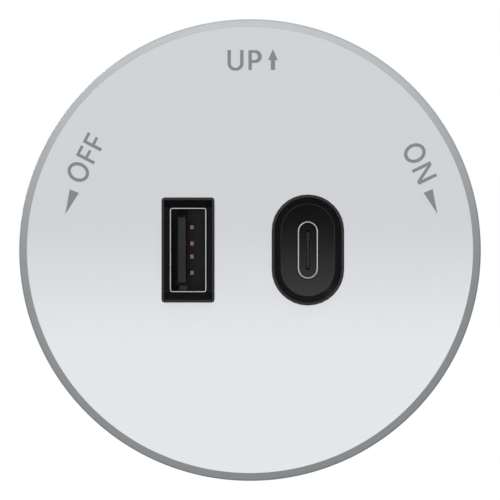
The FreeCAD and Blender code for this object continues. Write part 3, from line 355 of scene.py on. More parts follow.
def grain(tree, size, stretch, detail):
    """Noise on the object's own coordinates, with grains of one size in metres."""
    place = add_node(tree, "TexCoord").outputs["Object"]
    mapped = add_node(tree, "Mapping", {"Vector": place, "Scale": stretch}).outputs["Vector"]
    facts = {"Vector": mapped, "Scale": 1.0 / size, "Detail": detail}
    return add_node(tree, "TexNoise", facts).outputs["Fac"]


def ranged(tree, value, low_end, high_end):
    """A noise value spread between two numbers."""
    ends = {"From Min": NOISE_LOW, "From Max": NOISE_HIGH, "To Min": low_end, "To Max": high_end}
    return add_node(tree, "MapRange", {"Value": value, **ends}).outputs["Result"]


def shaded(tree, base, value, spread):
    """The base colour, made a little darker and lighter by a noise value."""
    dark = [c * (1 - spread) for c in base[:3]] + [1.0]
    pale = [min(1.0, c * (1 + spread)) for c in base[:3]] + [1.0]
    share = ranged(tree, value, 0.0, 1.0)
    facts = {"A": dark, "B": pale, "Factor": share}
    return add_node(tree, "Mix", facts, data_type="RGBA").outputs["Result"]


def bumped(tree, value, height):
    """A bump of a real height in metres from a noise value."""
    facts = {"Height": value, "Distance": height, "Strength": 1.0}
    return add_node(tree, "Bump", facts).outputs["Normal"]


def finish(name, base, roughness, grains, facts, stretch=UNTURNED):
    """A finish with grain in its colour, its gloss and its surface."""
    if name in bpy.data.materials:
        return bpy.data.materials[name]
    material, shader = new_material(name)
    tree = material.node_tree
    size, spread, relief = grains
    fine = grain(tree, size * MM, stretch, FINE_DETAIL)
    broad = grain(tree, size * MM * BROAD_GRAIN, stretch, BROAD_DETAIL)
    gloss_ends = roughness * (1 - GLOSS_SPREAD), min(1.0, roughness * (1 + GLOSS_SPREAD))
    tree.links.new(shaded(tree, base, broad, spread), shader.inputs["Base Color"])
    tree.links.new(ranged(tree, fine, *gloss_ends), shader.inputs["Roughness"])
    tree.links.new(bumped(tree, fine, relief * MM), shader.inputs["Normal"])
    for socket, value in facts.items():
        shader.inputs[socket].default_value = value
    return material


# Each finish has a name, a colour (one of the settings' or its own levels), a roughness, grains and
# facts of its shader, and where its grain is drawn out, the grain's stretch. Grains are their size
# in millimetres, the share by which they spread the colour, and their relief in millimetres.

METAL, SHEEN = "Metallic", "Specular IOR Level"
CLEAR_COAT = {"Coat Weight": 1.0, "Coat Roughness": 0.02, "Coat IOR": 2.4, SHEEN: 0.0}
SILVER = (0.3, 0.02, 0.001), {METAL: 0.15, SHEEN: 0.1}
PLATING = (0.1, 0.06, 0.001), {METAL: 0.3}
SHOE_METAL = (0.2, 0.08, 0.004), {METAL: 1.0}, (0.2, 1, 1)
MOULDED = (0.4, 0.06, 0.004)
FINISHES = {
    "face": ("Face satin silver", "face", 0.5, (0.25, 0.006, 0.0008), CLEAR_COAT),
    "rim": ("Drum satin silver", "rim", 0.45, *SILVER),
    # Painted shade: the drum's edge finish is a darker copy of the rim silver.
    "edge": ("Drum edge silver", "edge", 0.45, *SILVER),
    "matte": ("Pocket matte black", "pocket", 0.25, (0.3, 0.1, 0.001), {SHEEN: 0.12}),
    "satin": ("Pocket satin black", "pocket", 0.15, (0.3, 0.1, 0.0005), {SHEEN: 0.42}),
    "gloss": ("Pocket gloss black", "pocket", 0.06, (0.3, 0.1, 0.0003), {SHEEN: 1.0}),
    # Painted light and shade: the tongues' faces that look along the twist axis take this lighter
    # grey, their sides the pocket's black.
    "tongue": ("Tongue black plastic", (34, 34, 35), 0.5, (0.3, 0.08, 0.004), {SHEEN: 0.25}),
    "steel": ("Connector steel", "steel", 0.28, (0.12, 0.03, 0.0003), {METAL: 1.0}, (1, 0.15, 1)),
    "gold": ("USB contact plating", "gold", 0.35, *PLATING),
    # Painted shade: a darker red copy of the plating, for the shade on the contacts' bent sides
    # beside the tongue.
    "flank": ("USB contact flank", (64, 26, 22), 0.4, *PLATING),
    "ink": ("Mark grey ink", "ink", 0.55, (0.1, 0.03, 0.004), {}),
    "copper": ("Track contact copper", "copper", 0.3, *SHOE_METAL),
    "rear": ("Rear black plastic", "rear", 0.5, (0.25, 0.08, 0.01), {}),
    "spindle": ("Spindle grey plastic", "spindle", 0.48, (0.25, 0.06, 0.008), {}),
    "screw": ("Screw zinc", (190, 192, 196), 0.32, (0.15, 0.06, 0.004), {METAL: 1.0}),
    "spring": ("Spring steel", (170, 172, 176), 0.3, (0.2, 0.06, 0.004), {METAL: 1.0}, (1, 0.2, 1)),
    "brown": ("Lead brown", (96, 60, 40), 0.45, MOULDED, {}),
    "blue": ("Lead blue", (40, 90, 170), 0.45, MOULDED, {}),
    "green": ("Lead green", (60, 140, 60), 0.45, MOULDED, {}),
}


def paint(key):
    """One of the finishes above, made when it is first asked for."""
    name, tint, roughness, grains, facts, *stretch = FINISHES[key]
    base = getattr(settings().colours, tint) if isinstance(tint, str) else linear(*tint)
    return finish(name, base, roughness, grains, facts, *stretch)


# Building with bmesh


class Wall:
    """A wall that follows rounded outlines across the twist axis.

    Its first outline is a rectangle with bevelled corners. Each next one is extruded from the
    last, and its corners are moved and scaled to their new places.
    """

    def __init__(self, bm, width, height, corner, y, x):
        self.bm, self.x = bm, x
        self.size = self.fitted(width, height, corner)
        half_width, half_height, corner = self.size
        verts_before, edges_before = set(bm.verts), set(bm.edges)
        signs = ((-1, -1), (1, -1), (1, 1), (-1, 1))
        corners = [bm.verts.new((x + a * half_width, y, b * half_height)) for a, b in signs]
        bm.faces.new(corners)
        ease(bm, corners, corner, CORNER_STEPS, "VERTICES")
        fresh = [v for v in bm.verts if v not in verts_before]
        faces = list({f for v in fresh for f in v.link_faces})
        bmesh.ops.delete(bm, geom=faces, context="FACES_ONLY")
        self.first = self.rim = [e for e in bm.edges if e not in edges_before]

    @staticmethod
    def fitted(width, height, corner):
        """Half the width and height, and a corner that leaves a little of the short side."""
        return width / 2, height / 2, min(corner, CORNER_SHARE * width, CORNER_SHARE * height)

    def to(self, width, height, corner, y):
        """Draws the wall on to its next outline."""
        verts, self.rim = grown(self.bm, self.rim)
        old, new = self.size, self.fitted(width, height, corner)
        for v in verts:
            side = Vector((math.copysign(1, v.co.x - self.x), math.copysign(1, v.co.z)))
            out = Vector((v.co.x - self.x, v.co.z)) - self.corner_centre(old, side)
            place = self.corner_centre(new, side) + out * (new[2] / old[2])
            v.co = (self.x + place.x, y, place.y)
        self.size = new

    @staticmethod
    def corner_centre(size, side):
        """The centre of a corner's round, across and upright."""
        half_width, half_height, corner = size
        return Vector((side.x * (half_width - corner), side.y * (half_height - corner)))


def grown(bm, edges):
    """Extrudes a loop of edges in place: the new points and the new loop."""
    geom = bmesh.ops.extrude_edge_only(bm, edges=edges)["geom"]
    verts = [g for g in geom if isinstance(g, bmesh.types.BMVert)]
    fresh = set(verts)
    loop = [g for g in geom if isinstance(g, bmesh.types.BMEdge) and fresh.issuperset(g.verts)]
    return verts, loop


def run_to(bm, edges, y):
    """Extrudes a loop straight along the twist axis and returns the new loop."""
    verts, loop = grown(bm, edges)
    for v in verts:
        v.co.y = y
    return loop


def circle(bm, radius, y, steps=ROUND_STEPS):
    """A closed round loop about the twist axis."""
    before = set(bm.edges)
    turn = Matrix.Translation((0, y, 0)) @ Matrix.Rotation(math.pi / 2, 4, "X")
    bmesh.ops.create_circle(bm, segments=steps, radius=radius, matrix=turn)
    return [e for e in bm.edges if e not in before]


def spun(bm, profile, steps=ROUND_STEPS, centre=CENTRE):
    """A turned skin from (radius, y) points, closed where a point lies on the axis."""
    points = [bm.verts.new(centre + Vector((radius, y, 0))) for radius, y in profile]
    edges = [bm.edges.new(pair) for pair in zip(points, points[1:])]
    bmesh.ops.spin(
        bm,
        geom=points + edges,
        cent=centre,
        axis=TWIST_AXIS,
        angle=math.tau,
        steps=steps,
        use_merge=True,
    )
    bmesh.ops.remove_doubles(bm, verts=bm.verts, dist=SAME_POINT)


def open_loops(bm):
    """Every edge that has only one face."""
    return [e for e in bm.edges if e.is_boundary]


def open_edges(bm, y):
    """The open edges that lie at one depth."""
    return [e for e in open_loops(bm) if all(abs(v.co.y - y) < TINY for v in e.verts)]


def sharp_edges(bm, degrees=CREASE):
    """The edges where the surface turns by more than an angle."""
    limit = math.radians(degrees)
    return [e for e in bm.edges if e.is_manifold and e.calc_face_angle(0.0) > limit]


def front_edges(bm, front_y, degrees=CREASE):
    """The sharp edges round the foremost face of a piece."""
    edges = sharp_edges(bm, degrees)
    return [e for e in edges if all(v.co.y < front_y + TINY for v in e.verts)]


def ease(bm, geom, width, steps=2, affect="EDGES"):
    """Rounds edges, or the corners of a flat outline, by a bevel."""
    bmesh.ops.bevel(
        bm,
        geom=geom,
        offset=width,
        segments=steps,
        profile=0.5,
        affect=affect,
        clamp_overlap=affect == "EDGES",
        material=-1,
    )


def outward(bm):
    """Merges doubles, drops slivers and turns every face outward."""
    bmesh.ops.remove_doubles(bm, verts=bm.verts, dist=SAME_POINT)
    bmesh.ops.dissolve_degenerate(bm, edges=bm.edges, dist=SAME_POINT)
    bmesh.ops.recalc_face_normals(bm, faces=bm.faces)


def placed(name, data):
    """A new object of the scene with its data."""
    item = bpy.data.objects.new(name, data)
    bpy.context.scene.collection.objects.link(item)
    return item


def shaped(bm, name, *materials):
    """Makes a finished bmesh an object of the scene with its materials."""
    mesh = bpy.data.meshes.new(name)
    bm.to_mesh(mesh)
    bm.free()
    for material in materials:
        mesh.materials.append(material)
    return placed(name, mesh)


def piece(bm, name, finishes, body, slot, *nodes, crease=CREASE):
    """Makes a finished bmesh a piece that rides on a body, if it has one, and stands for nodes."""
    if not bm.faces:
        raise RuntimeError(f"{name} has no faces")
    for face in bm.faces:
        face.smooth = True
    for edge in sharp_edges(bm, crease) + [e for e in bm.edges if len(paints_at(e)) > 1]:
        edge.smooth = False
    shape = shaped(bm, name, *finishes)
    shape.modifiers.new("Even shading", "WEIGHTED_NORMAL").keep_sharp = True
    if body:
        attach(shape, body)
    if nodes:
        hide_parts(*nodes)
    return shape


def paints_at(edge):
    """The material indexes of the faces that meet at an edge."""
    return {face.material_index for face in edge.link_faces}


def split(bm, place, normal):
    """Cuts every face along a plane and keeps both sides."""
    geom = bm.verts[:] + bm.edges[:] + bm.faces[:]
    bmesh.ops.bisect_plane(bm, geom=geom, plane_co=place, plane_no=normal)


def merged_copy(node):
    """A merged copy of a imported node, with its flat faces joined."""
    bm = bmesh.new()
    bm.from_mesh(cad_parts[node].data)
    bmesh.ops.remove_doubles(bm, verts=bm.verts, dist=TINY)
    limit = math.radians(FLAT_ANGLE)
    bmesh.ops.dissolve_limit(bm, angle_limit=limit, verts=bm.verts, edges=bm.edges)
    return bm


def eased_copy(node, name, finish_key, body, slot, width):
    """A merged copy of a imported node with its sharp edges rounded, which stands for it."""
    bm = merged_copy(node)
    ease(bm, sharp_edges(bm), width * MM)
    return piece(bm, name, [paint(finish_key)], body, slot, node)


def mark_faces(bm, index, test):
    """Gives one of the piece's materials to the faces whose middle and normal pass a test."""
    for face in bm.faces:
        if test(face.calc_center_median(), face.normal):
            face.material_index = index


def on_lip(centre):
    """Whether a face lies on a pocket's lip."""
    return centre.y < FACE_Y + LIP_FOOT


def dress(node, material):
    """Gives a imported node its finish."""
    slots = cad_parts[node].data.materials
    slots.clear()
    slots.append(material)


# The face and the drum


def pocket_windows(bm, y):
    """The two port windows of the face plate, as walls that start at one depth."""
    sizes = settings().pockets
    spare = 2 * sizes.window_gap
    return [
        Wall(bm, sizes.a_width + spare, sizes.a_height + spare, sizes.a_corner, y, PORT_A_X),
        Wall(bm, sizes.c_width + spare, sizes.c_height + spare, sizes.c_width, y, PORT_C_X),
    ]


def fill(bm, loops):
    """A flat face inside the first loop, with the other loops as holes."""
    edges = [e for loop in loops for e in loop]
    bmesh.ops.triangle_fill(bm, use_beauty=True, edges=edges, normal=-TWIST_AXIS)


class TRACKSOCKET_OT_face_plate(bpy.types.Operator):
    """Builds the satin silver face plate with its two port windows"""

    bl_idname = "track_socket.face_plate"
    bl_label = "Face plate"

    def execute(self, context):
        bm = bmesh.new()
        rim = circle(bm, BODY_RADIUS - settings().drum.rim_width - FACE_FIT, FACE_Y)
        loops = [rim] + [window.first for window in pocket_windows(bm, FACE_Y)]
        fill(bm, loops)
        fill(bm, [run_to(bm, loop, FACE_BACK_Y) for loop in loops])
        outward(bm)
        ease(bm, front_edges(bm, FACE_Y, RIM_ANGLE), settings().drum.face_easing)
        finishes = [paint("face")]
        crease = FACE_CREASE
        piece(bm, "face_plate_disc", finishes, "adapter", "face_metal", "face_plate", crease=crease)
        return {"FINISHED"}


class TRACKSOCKET_OT_drum(bpy.types.Operator):
    """Builds the drum: its chamfered rim, its side wall and the front wall behind the face"""

    bl_idname = "track_socket.drum"
    bl_label = "Drum"

    def execute(self, context):
        sizes, pockets = settings().drum, settings().pockets
        lip = BODY_RADIUS - sizes.rim_width
        bore = BODY_RADIUS - sizes.side_wall
        front_y, back_y = FACE_Y + sizes.wall_front, FACE_Y + sizes.wall_back
        bm = bmesh.new()
        spun(
            bm,
            [
                (lip, front_y),
                (lip, FACE_Y),
                (BODY_RADIUS, FACE_Y + sizes.rim_depth),
                (BODY_RADIUS, BODY_REAR_Y),
                (bore, BODY_REAR_Y),
                (bore, back_y),
            ],
        )
        spread = 2 * (pockets.flange + pockets.window_gap)
        room = 2 * PORT_ROOM
        fronts, backs = [open_edges(bm, front_y)], [open_edges(bm, back_y)]
        rooms = (
            (PORT_A_X, pockets.a_width, pockets.a_height, reach("usb_a_insulator")),
            (PORT_C_X, pockets.c_width, pockets.c_height, reach("usb_c_insulator")),
        )
        for x, width, height, port in rooms:
            wall = Wall(bm, width + spread, height + spread, WINDOW_CORNER, front_y, x)
            fronts.append(wall.first)
            wall.to(width + spread, height + spread, WINDOW_CORNER, POCKET_REAR_Y)
            wall.to(port.x + room, port.z + room, WINDOW_CORNER, POCKET_REAR_Y)
            wall.to(port.x + room, port.z + room, WINDOW_CORNER, back_y)
            backs.append(wall.rim)
        fill(bm, fronts)
        fill(bm, backs)
        outward(bm)
        outer_rim = ring_edges(bm, BODY_RADIUS, FACE_Y + sizes.rim_depth)
        ease(bm, outer_rim, sizes.rim_rounding, RIM_STEPS)
        rear_rim = ring_edges(bm, BODY_RADIUS, BODY_REAR_Y)
        ease(bm, rear_rim, sizes.rim_rounding, REAR_RIM_STEPS)
        edge_y = FACE_Y + sizes.rim_depth + sizes.rim_rounding
        edge_radius = BODY_RADIUS - sizes.rim_rounding
        # Painted shade: the rounding at the rim's outer edge takes the darker edge silver.
        mark_faces(bm, 1, lambda c, n: c.y < edge_y and math.hypot(c.x, c.z) > edge_radius)
        finishes = [paint("rim"), paint("edge")]
        piece(bm, "drum_shell", finishes, "adapter", "shell_silver", "outer_shell")
        return {"FINISHED"}


def ring_edges(bm, radius, y):
    """The edges of one ring round the twist axis."""

    def on_ring(v):
        out = math.hypot(v.co.x, v.co.z)
        return abs(out - radius) < TINY and abs(v.co.y - y) < TINY

    return [e for e in bm.edges if all(on_ring(v) for v in e.verts)]


# The port pockets


def draw_lip(wall, width, height, corner, lip):
    """Draws a pocket's lip, up its gentle outer slope and down its rounded inner edge."""
    crest = lip * LIP_CREST
    rise = FACE_Y + LIP_FOOT - POCKET_FRONT_Y
    profile = [(0, FACE_Y), (crest, POCKET_FRONT_Y)]
    for i in range(1, LIP_STEPS + 1):
        turn = math.pi / 2 * i / LIP_STEPS
        inset = crest + (lip - crest) * math.sin(turn)
        profile.append((inset, POCKET_FRONT_Y + rise * (1 - math.cos(turn))))
    for inset, y in profile:
        wall.to(width - 2 * inset, height - 2 * inset, max(corner - inset, SMALL_CORNER), y)


def pocket_outside(bm, width, height, corner, lip, x):
    """A pocket's outside: its flange, the part in the face's window, and its lip."""
    flange = 2 * settings().pockets.flange
    wall = Wall(bm, width + flange, height + flange, FLANGE_CORNER, POCKET_REAR_Y, x)
    wall.to(width + flange, height + flange, FLANGE_CORNER, FACE_BACK_Y)
    wall.to(width, height, corner, FACE_BACK_Y)
    draw_lip(wall, width, height, corner, lip)
    return wall


class TRACKSOCKET_OT_usb_a_pocket(bpy.types.Operator):
    """Builds the black pocket round the USB A port, with its lip and its two ramps"""

    bl_idname = "track_socket.usb_a_pocket"
    bl_label = "USB A pocket"

    def execute(self, context):
        sizes = settings().pockets
        bm = bmesh.new()
        wall = pocket_outside(
            bm, sizes.a_width, sizes.a_height, sizes.a_corner, sizes.a_lip, PORT_A_X
        )
        floor_y = FACE_Y + sizes.a_floor
        inside = sizes.a_width - 2 * sizes.a_lip
        top = sizes.a_height / 2 - sizes.a_lip
        foot = top - sizes.a_ramp
        wall.to(inside, 2 * top, SMALL_CORNER, floor_y)
        port = reach("usb_a_shell")
        gap = 2 * PORT_GAP
        hole = Wall(bm, port.x + gap, PORT_A_HEIGHT + gap, PORT_A_CORNER, floor_y, PORT_A_X)
        fill(bm, [wall.rim, hole.first])
        for side in (-1, 1):
            split(bm, (0, 0, side * foot), (0, 0, 1))
        slope = (sizes.a_floor - LIP_FOOT) / sizes.a_ramp
        for v in bm.verts:
            in_pocket = abs(v.co.x - PORT_A_X) < inside / 2 + TINY and abs(v.co.z) < top + TINY
            if in_pocket and abs(v.co.y - floor_y) < TINY and abs(v.co.z) > foot:
                v.co.y -= (abs(v.co.z) - foot) * slope
        in_hole = [e for e in open_loops(bm) if abs(e.verts[0].co.x - PORT_A_X) < inside / 2]
        run_to(bm, in_hole, POCKET_REAR_Y)
        fill(bm, [open_loops(bm)])
        outward(bm)
        ease(bm, [e for e in bm.edges if self.on_foot(e, foot, floor_y, inside)], sizes.a_bead)
        mark_faces(bm, 1, lambda c, n: on_lip(c) or self.on_bead(c, n, foot, sizes.a_bead))
        finishes = [paint("matte"), paint("satin")]
        piece(bm, "usb_a_pocket", finishes, "adapter", "pocket_black", "usb_a_bezel")
        return {"FINISHED"}

    @staticmethod
    def on_foot(edge, foot, floor_y, inside):
        """Whether an edge is the foot of a ramp."""
        return all(
            abs(abs(v.co.z) - foot) < TINY
            and abs(v.co.y - floor_y) < TINY
            and abs(v.co.x - PORT_A_X) < inside / 2 + TINY
            for v in edge.verts
        )

    @staticmethod
    def on_bead(centre, normal, foot, bead):
        """Whether a face lies on the bead at the foot of a ramp."""
        facing = SLOPE_FACING < -normal.y < BEAD_FACING
        return facing and abs(abs(centre.z) - foot) < bead


class TRACKSOCKET_OT_usb_c_pocket(bpy.types.Operator):
    """Builds the black pocket round the USB C port, with its lip and its sloping wall"""

    bl_idname = "track_socket.usb_c_pocket"
    bl_label = "USB C pocket"

    def execute(self, context):
        sizes = settings().pockets
        width, height, corner = sizes.c_width, sizes.c_height, sizes.c_width
        floor_y = FACE_Y + sizes.c_floor
        inset = 2 * (sizes.c_lip + sizes.c_slope)
        port = reach("usb_c_insulator")
        gap = 2 * (PORT_GAP + PORT_SHEET)
        bm = bmesh.new()
        wall = pocket_outside(bm, width, height, corner, sizes.c_lip, PORT_C_X)
        edge = sizes.c_edge
        wall.to(width - inset + edge, height - inset + edge, corner, floor_y - edge * EDGE_RISE)
        wall.to(width - inset - edge, height - inset - edge, corner, floor_y)
        wall.to(port.x + gap, port.z + gap, corner, floor_y)
        wall.to(port.x + gap, port.z + gap, corner, POCKET_REAR_Y)
        fill(bm, [wall.rim, wall.first])
        outward(bm)
        mark_faces(bm, 1, lambda c, n: on_lip(c) or (n.y < -SLOPE_FACING and c.y > floor_y - edge))
        mark_faces(bm, 2, lambda c, n: n.y < -FLOOR_FACING and c.y > floor_y - TINY)
        finishes = [paint("matte"), paint("satin"), paint("gloss")]
        piece(bm, "usb_c_pocket", finishes, "adapter", "pocket_black", "usb_c_bezel")
        return {"FINISHED"}


# The USB ports


class TRACKSOCKET_OT_usb_a_port(bpy.types.Operator):
    """Builds the USB A connector: its steel shell, its tongue and its four spring contacts"""

    bl_idname = "track_socket.usb_a_port"
    bl_label = "USB A port"

    def execute(self, context):
        self.shell()
        self.tongue()
        self.contacts()
        return {"FINISHED"}

    def shell(self):
        """The folded steel shell, with its fingers bent back and its rim drawn thinner."""
        bm = merged_copy("usb_a_shell")
        front_y = low("usb_a_shell").y
        inside = reach("usb_a_insulator") + Vector((1, 1, 1)) * 2 * INSULATOR_FIT
        outside = inside + Vector((1, 1, 1)) * 2 * PORT_SHEET
        redrawn(bm, PORT_A_X, inside, A_SHELL_CORNER - PORT_SHEET, SHEET_OPENING)
        redrawn(bm, PORT_A_X, outside, A_SHELL_CORNER, -SHEET_THINNING, A_SHEET_END_TRIM)
        hidden = inside.x / 2 + SHEET_OPENING
        for v in bm.verts:
            share = (v.co.y - front_y - FINGER_ROOT) / FINGER_LENGTH
            if 0 < share < FINGER_TIP:
                out = v.co.x - PORT_A_X
                place = max(abs(out) + FINGER_BACK * share, hidden)
                v.co.x = PORT_A_X + math.copysign(place, out)
        ease(bm, front_edges(bm, front_y), SHEET_EASING)
        piece(bm, "usb_a_steel_shell", [paint("steel")], "adapter", "port_metal", "usb_a_shell")

    def tongue(self):
        """The insulator: its tip is narrowed, and a slot is sunk beside the tongue."""
        bm = merged_copy("usb_a_insulator")
        base_y = low("usb_a_insulator").y + A_BASE_DEPTH
        tip = [v for v in bm.verts if v.co.y < low("usb_a_insulator").y + TINY]
        side = min(v.co.x for v in tip)
        end = max(abs(v.co.z) for v in tip)
        for v in tip:
            if v.co.x < side + TINY:
                v.co.x += A_TONGUE_TRIM
            if abs(v.co.z) > end - TINY:
                v.co.z -= math.copysign(A_TONGUE_END_TRIM, v.co.z)
        x, z = PORT_A_X + A_SLOT_X, A_SLOT_Z
        recess(bm, base_y, (x, x + A_SLOT_WIDTH), (z, high("usb_a_insulator").z), A_SLOT_DEPTH)
        # Painted shade: the insulator's sides and the slot's walls take the pocket's black, its
        # front and back faces the lighter tongue grey.
        mark_faces(bm, 1, lambda c, n: TONGUE_SHADED_SIDES[0] < n.y < TONGUE_SHADED_SIDES[1])
        finishes = [paint("tongue"), paint("matte")]
        piece(bm, "usb_a_tongue", finishes, "adapter", "tongue_black", "usb_a_insulator")

    def contacts(self):
        """The four contacts, narrowed and bent, with gilt fronts, painted shade on their bent sides
        and a painted black shadow strip in between.
        """
        bm = merged_copy("usb_a_contacts")
        front_x = high("usb_a_contacts").x
        bend_x = front_x - A_CONTACT_BEND
        for v in bm.verts:
            if abs(v.co.x - bend_x) < A_BEND_REACH:
                v.co.x += A_BEND_SHIFT
            if v.co.x > front_x - TINY:
                v.co.x -= A_CONTACT_TRIM
            row = min(A_CONTACT_ROWS, key=lambda place: abs(abs(v.co.z) - place))
            height = row + (abs(v.co.z) - row) * A_CONTACT_NARROWING
            v.co.z = math.copysign(height, v.co.z)
        bend_x += A_BEND_SHIFT
        flank_x = bend_x - A_CONTACT_SHADOW_STRIP
        split(bm, (flank_x, 0, 0), (1, 0, 0))
        # Painted shade: the contacts' bent sides, up to the black strip, take the darker red
        # plating.
        mark_faces(bm, 1, lambda c, n: c.x < flank_x)
        # Painted shadow: the strip between the bent sides and the gilt fronts takes the pocket's
        # black.
        mark_faces(bm, 2, lambda c, n: flank_x < c.x < bend_x)
        finishes = [paint("gold"), paint("flank"), paint("matte")]
        piece(bm, "usb_a_spring_contacts", finishes, "adapter", "contact_gold", "usb_a_contacts")


class TRACKSOCKET_OT_usb_c_port(bpy.types.Operator):
    """Builds the USB C connector: its steel shell, its thin tongue and its flush contacts"""

    bl_idname = "track_socket.usb_c_port"
    bl_label = "USB C port"

    def execute(self, context):
        self.shell()
        self.tongue()
        self.contacts()
        return {"FINISHED"}

    def shell(self):
        """The drawn steel shell, with its rim drawn thinner."""
        bm = merged_copy("usb_c_shell")
        front_y = low("usb_c_shell").y
        inside = reach("usb_c_insulator") + Vector((1, 1, 1)) * 2 * INSULATOR_FIT
        outside = inside + Vector((1, 1, 1)) * 2 * PORT_SHEET
        redrawn(bm, PORT_C_X, inside, inside.x / 2, SHEET_OPENING)
        redrawn(bm, PORT_C_X, outside, outside.x / 2, -SHEET_THINNING, C_SHEET_END_TRIM)
        ease(bm, front_edges(bm, front_y), SHEET_EASING)
        piece(bm, "usb_c_steel_shell", [paint("steel")], "adapter", "port_metal", "usb_c_shell")

    def tongue(self):
        """The insulator, with the tongue's tip narrowed."""
        bm = merged_copy("usb_c_insulator")
        front_y = low("usb_c_insulator").y
        wide = max(abs(v.co.z) for v in bm.verts if v.co.y < front_y + C_TONGUE_LENGTH)
        for v in bm.verts:
            if v.co.y < front_y + TINY:
                v.co.x = PORT_C_X + math.copysign(C_TONGUE_TIP / 2, v.co.x - PORT_C_X)
            if abs(abs(v.co.z) - wide) < TINY:
                v.co.z = math.copysign(C_TONGUE_HALF, v.co.z)
        # Painted light and shade: only the tongue's front tip takes the lighter tongue grey; every
        # other face takes the pocket's gloss black.
        mark_faces(bm, 1, lambda c, n: c.y > front_y + TINY)
        finishes = [paint("tongue"), paint("gloss")]
        piece(bm, "usb_c_tongue", finishes, "adapter", "tongue_black", "usb_c_insulator")

    def contacts(self):
        """The flat contacts, sunk until they are flush with the tongue's sides."""
        bm = merged_copy("usb_c_contacts")
        flush = C_CONTACT_FACE / (reach("usb_c_contacts").x / 2)
        for v in bm.verts:
            v.co.x = PORT_C_X + (v.co.x - PORT_C_X) * flush
        finishes = [paint("gold")]
        piece(bm, "usb_c_flat_contacts", finishes, "adapter", "contact_gold", "usb_c_contacts")


def redrawn(bm, x, size, corner, step, end_trim=0.0):
    """Moves a shell's inner or outer outline outward by a step, and its two ends back in."""
    core = Vector((size.x / 2 - corner, size.z / 2 - corner))
    for v in bm.verts:
        out = Vector((v.co.x - x, v.co.z))
        held = Vector((max(-core.x, min(core.x, out.x)), max(-core.y, min(core.y, out.y))))
        rest = out - held
        if abs(rest.length - corner) < 2 * TINY:
            place = held + rest.normalized() * (corner + step)
            if abs(held.y) > core.y - TINY:
                place.y -= math.copysign(end_trim, place.y)
            v.co.x, v.co.z = x + place.x, place.y


def recess(bm, y, across, upright, depth):
    """Sinks a rectangle of a flat face at one depth, given its ends across and upright."""
    flat = [f for f in bm.faces if all(abs(v.co.y - y) < TINY for v in f.verts)]
    for axis, ends in ((0, across), (2, upright)):
        for end in ends:
            place, normal = Vector(), Vector()
            place[axis], normal[axis] = end, 1
            around = {v for f in flat for v in f.verts} | {e for f in flat for e in f.edges}
            geom = flat + list(around)
            cut = bmesh.ops.bisect_plane(bm, geom=geom, plane_co=place, plane_no=normal)
            flat = [g for g in cut["geom"] if isinstance(g, bmesh.types.BMFace)]
    inside = []
    for face in flat:
        centre = face.calc_center_median()
        if across[0] < centre.x < across[1] and upright[0] < centre.z < upright[1]:
            inside.append(face)
    moved = bmesh.ops.extrude_face_region(bm, geom=inside)["geom"]
    bmesh.ops.delete(bm, geom=inside, context="FACES_ONLY")
    verts = [g for g in moved if isinstance(g, bmesh.types.BMVert)]
    bmesh.ops.translate(bm, verts=verts, vec=TWIST_AXIS * depth)


# Printed marks


class Pen:
    """Draws the outline of a mark on a flat sheet, in millimetres from the mark's middle."""

    def __init__(self, bm=None, origin=CENTRE):
        self.bm = bm or bmesh.new()
        self.origin = origin
        self.first = self.last = None

    def place(self, x, z):
        """Where a point of the mark lies."""
        return self.origin + Vector((x, 0, z)) * MM

    def start(self, x, z):
        """Puts the pen down."""
        self.first = self.last = self.bm.verts.new(self.place(x, z))
        return self

    def lines(self, *points):
        """Straight lines to each point."""
        for x, z in points:
            point = self.bm.verts.new(self.place(x, z))
            self.bm.edges.new((self.last, point))
            self.last = point
        return self

    def arc(self, x, z, sweep):
        """An arc about a centre, over a sweep in degrees."""
        swept = bmesh.ops.spin(
            self.bm,
            geom=[self.last],
            cent=self.place(x, z),
            axis=-TWIST_AXIS,
            angle=math.radians(sweep),
            steps=ARC_STEPS,
        )
        self.last = swept["geom_last"][0]
        return self

    def close(self):
        """A straight line back to where the pen was put down."""
        self.bm.edges.new((self.last, self.first))

    def oval(self, width, height):
        """A closed oval about the mark's middle."""
        ring = circle(self.bm, MM / 2, 0.0, OVAL_STEPS)
        verts = list({v for e in ring for v in e.verts})
        bmesh.ops.scale(self.bm, verts=verts, vec=(width, 1, height))
        return self


def draw_u(pen):
    """The letter U."""
    half, inner, foot, top, outer = 1.238, 0.70, -0.50, 1.54, 1.138
    pen.start(-half, top).lines((-half, foot)).arc(outer - half, foot, 90)
    pen.lines((half - outer, foot - outer)).arc(half - outer, foot, 90)
    pen.lines((half, top), (inner, top), (inner, foot)).arc(0, foot, -180)
    pen.lines((-inner, top)).close()


def draw_p(pen):
    """The letter P with its bowl."""
    half, stem, bend, top = 1.035, -0.51, -0.146, 1.528
    centre, outer, inner = 0.543, 0.985, 0.558
    pen.start(-half, -top).lines((stem, -top), (stem, centre - outer))
    pen.lines((half - outer, centre - outer)).arc(half - outer, centre, 180)
    pen.lines((-half, top)).close()
    pen.start(stem, centre - inner).lines((bend, centre - inner))
    pen.arc(bend, centre, 180).lines((stem, centre + inner)).close()


def draw_f(pen):
    """The letter F."""
    half, stem, top, under = 0.874, -0.374, 1.55, 1.10
    arm, arm_foot, arm_top = 0.80, -0.296, 0.15
    pen.start(-half, -top).lines((stem, -top), (stem, arm_foot), (arm, arm_foot), (arm, arm_top))
    pen.lines((stem, arm_top), (stem, under), (half, under), (half, top), (-half, top)).close()


def draw_o(pen):
    """The letter O, as one oval inside another."""
    wide, tall, stroke = 2.93, 3.43, 0.515
    pen.oval(wide, tall).oval(wide - 2 * stroke, tall - 2 * stroke)


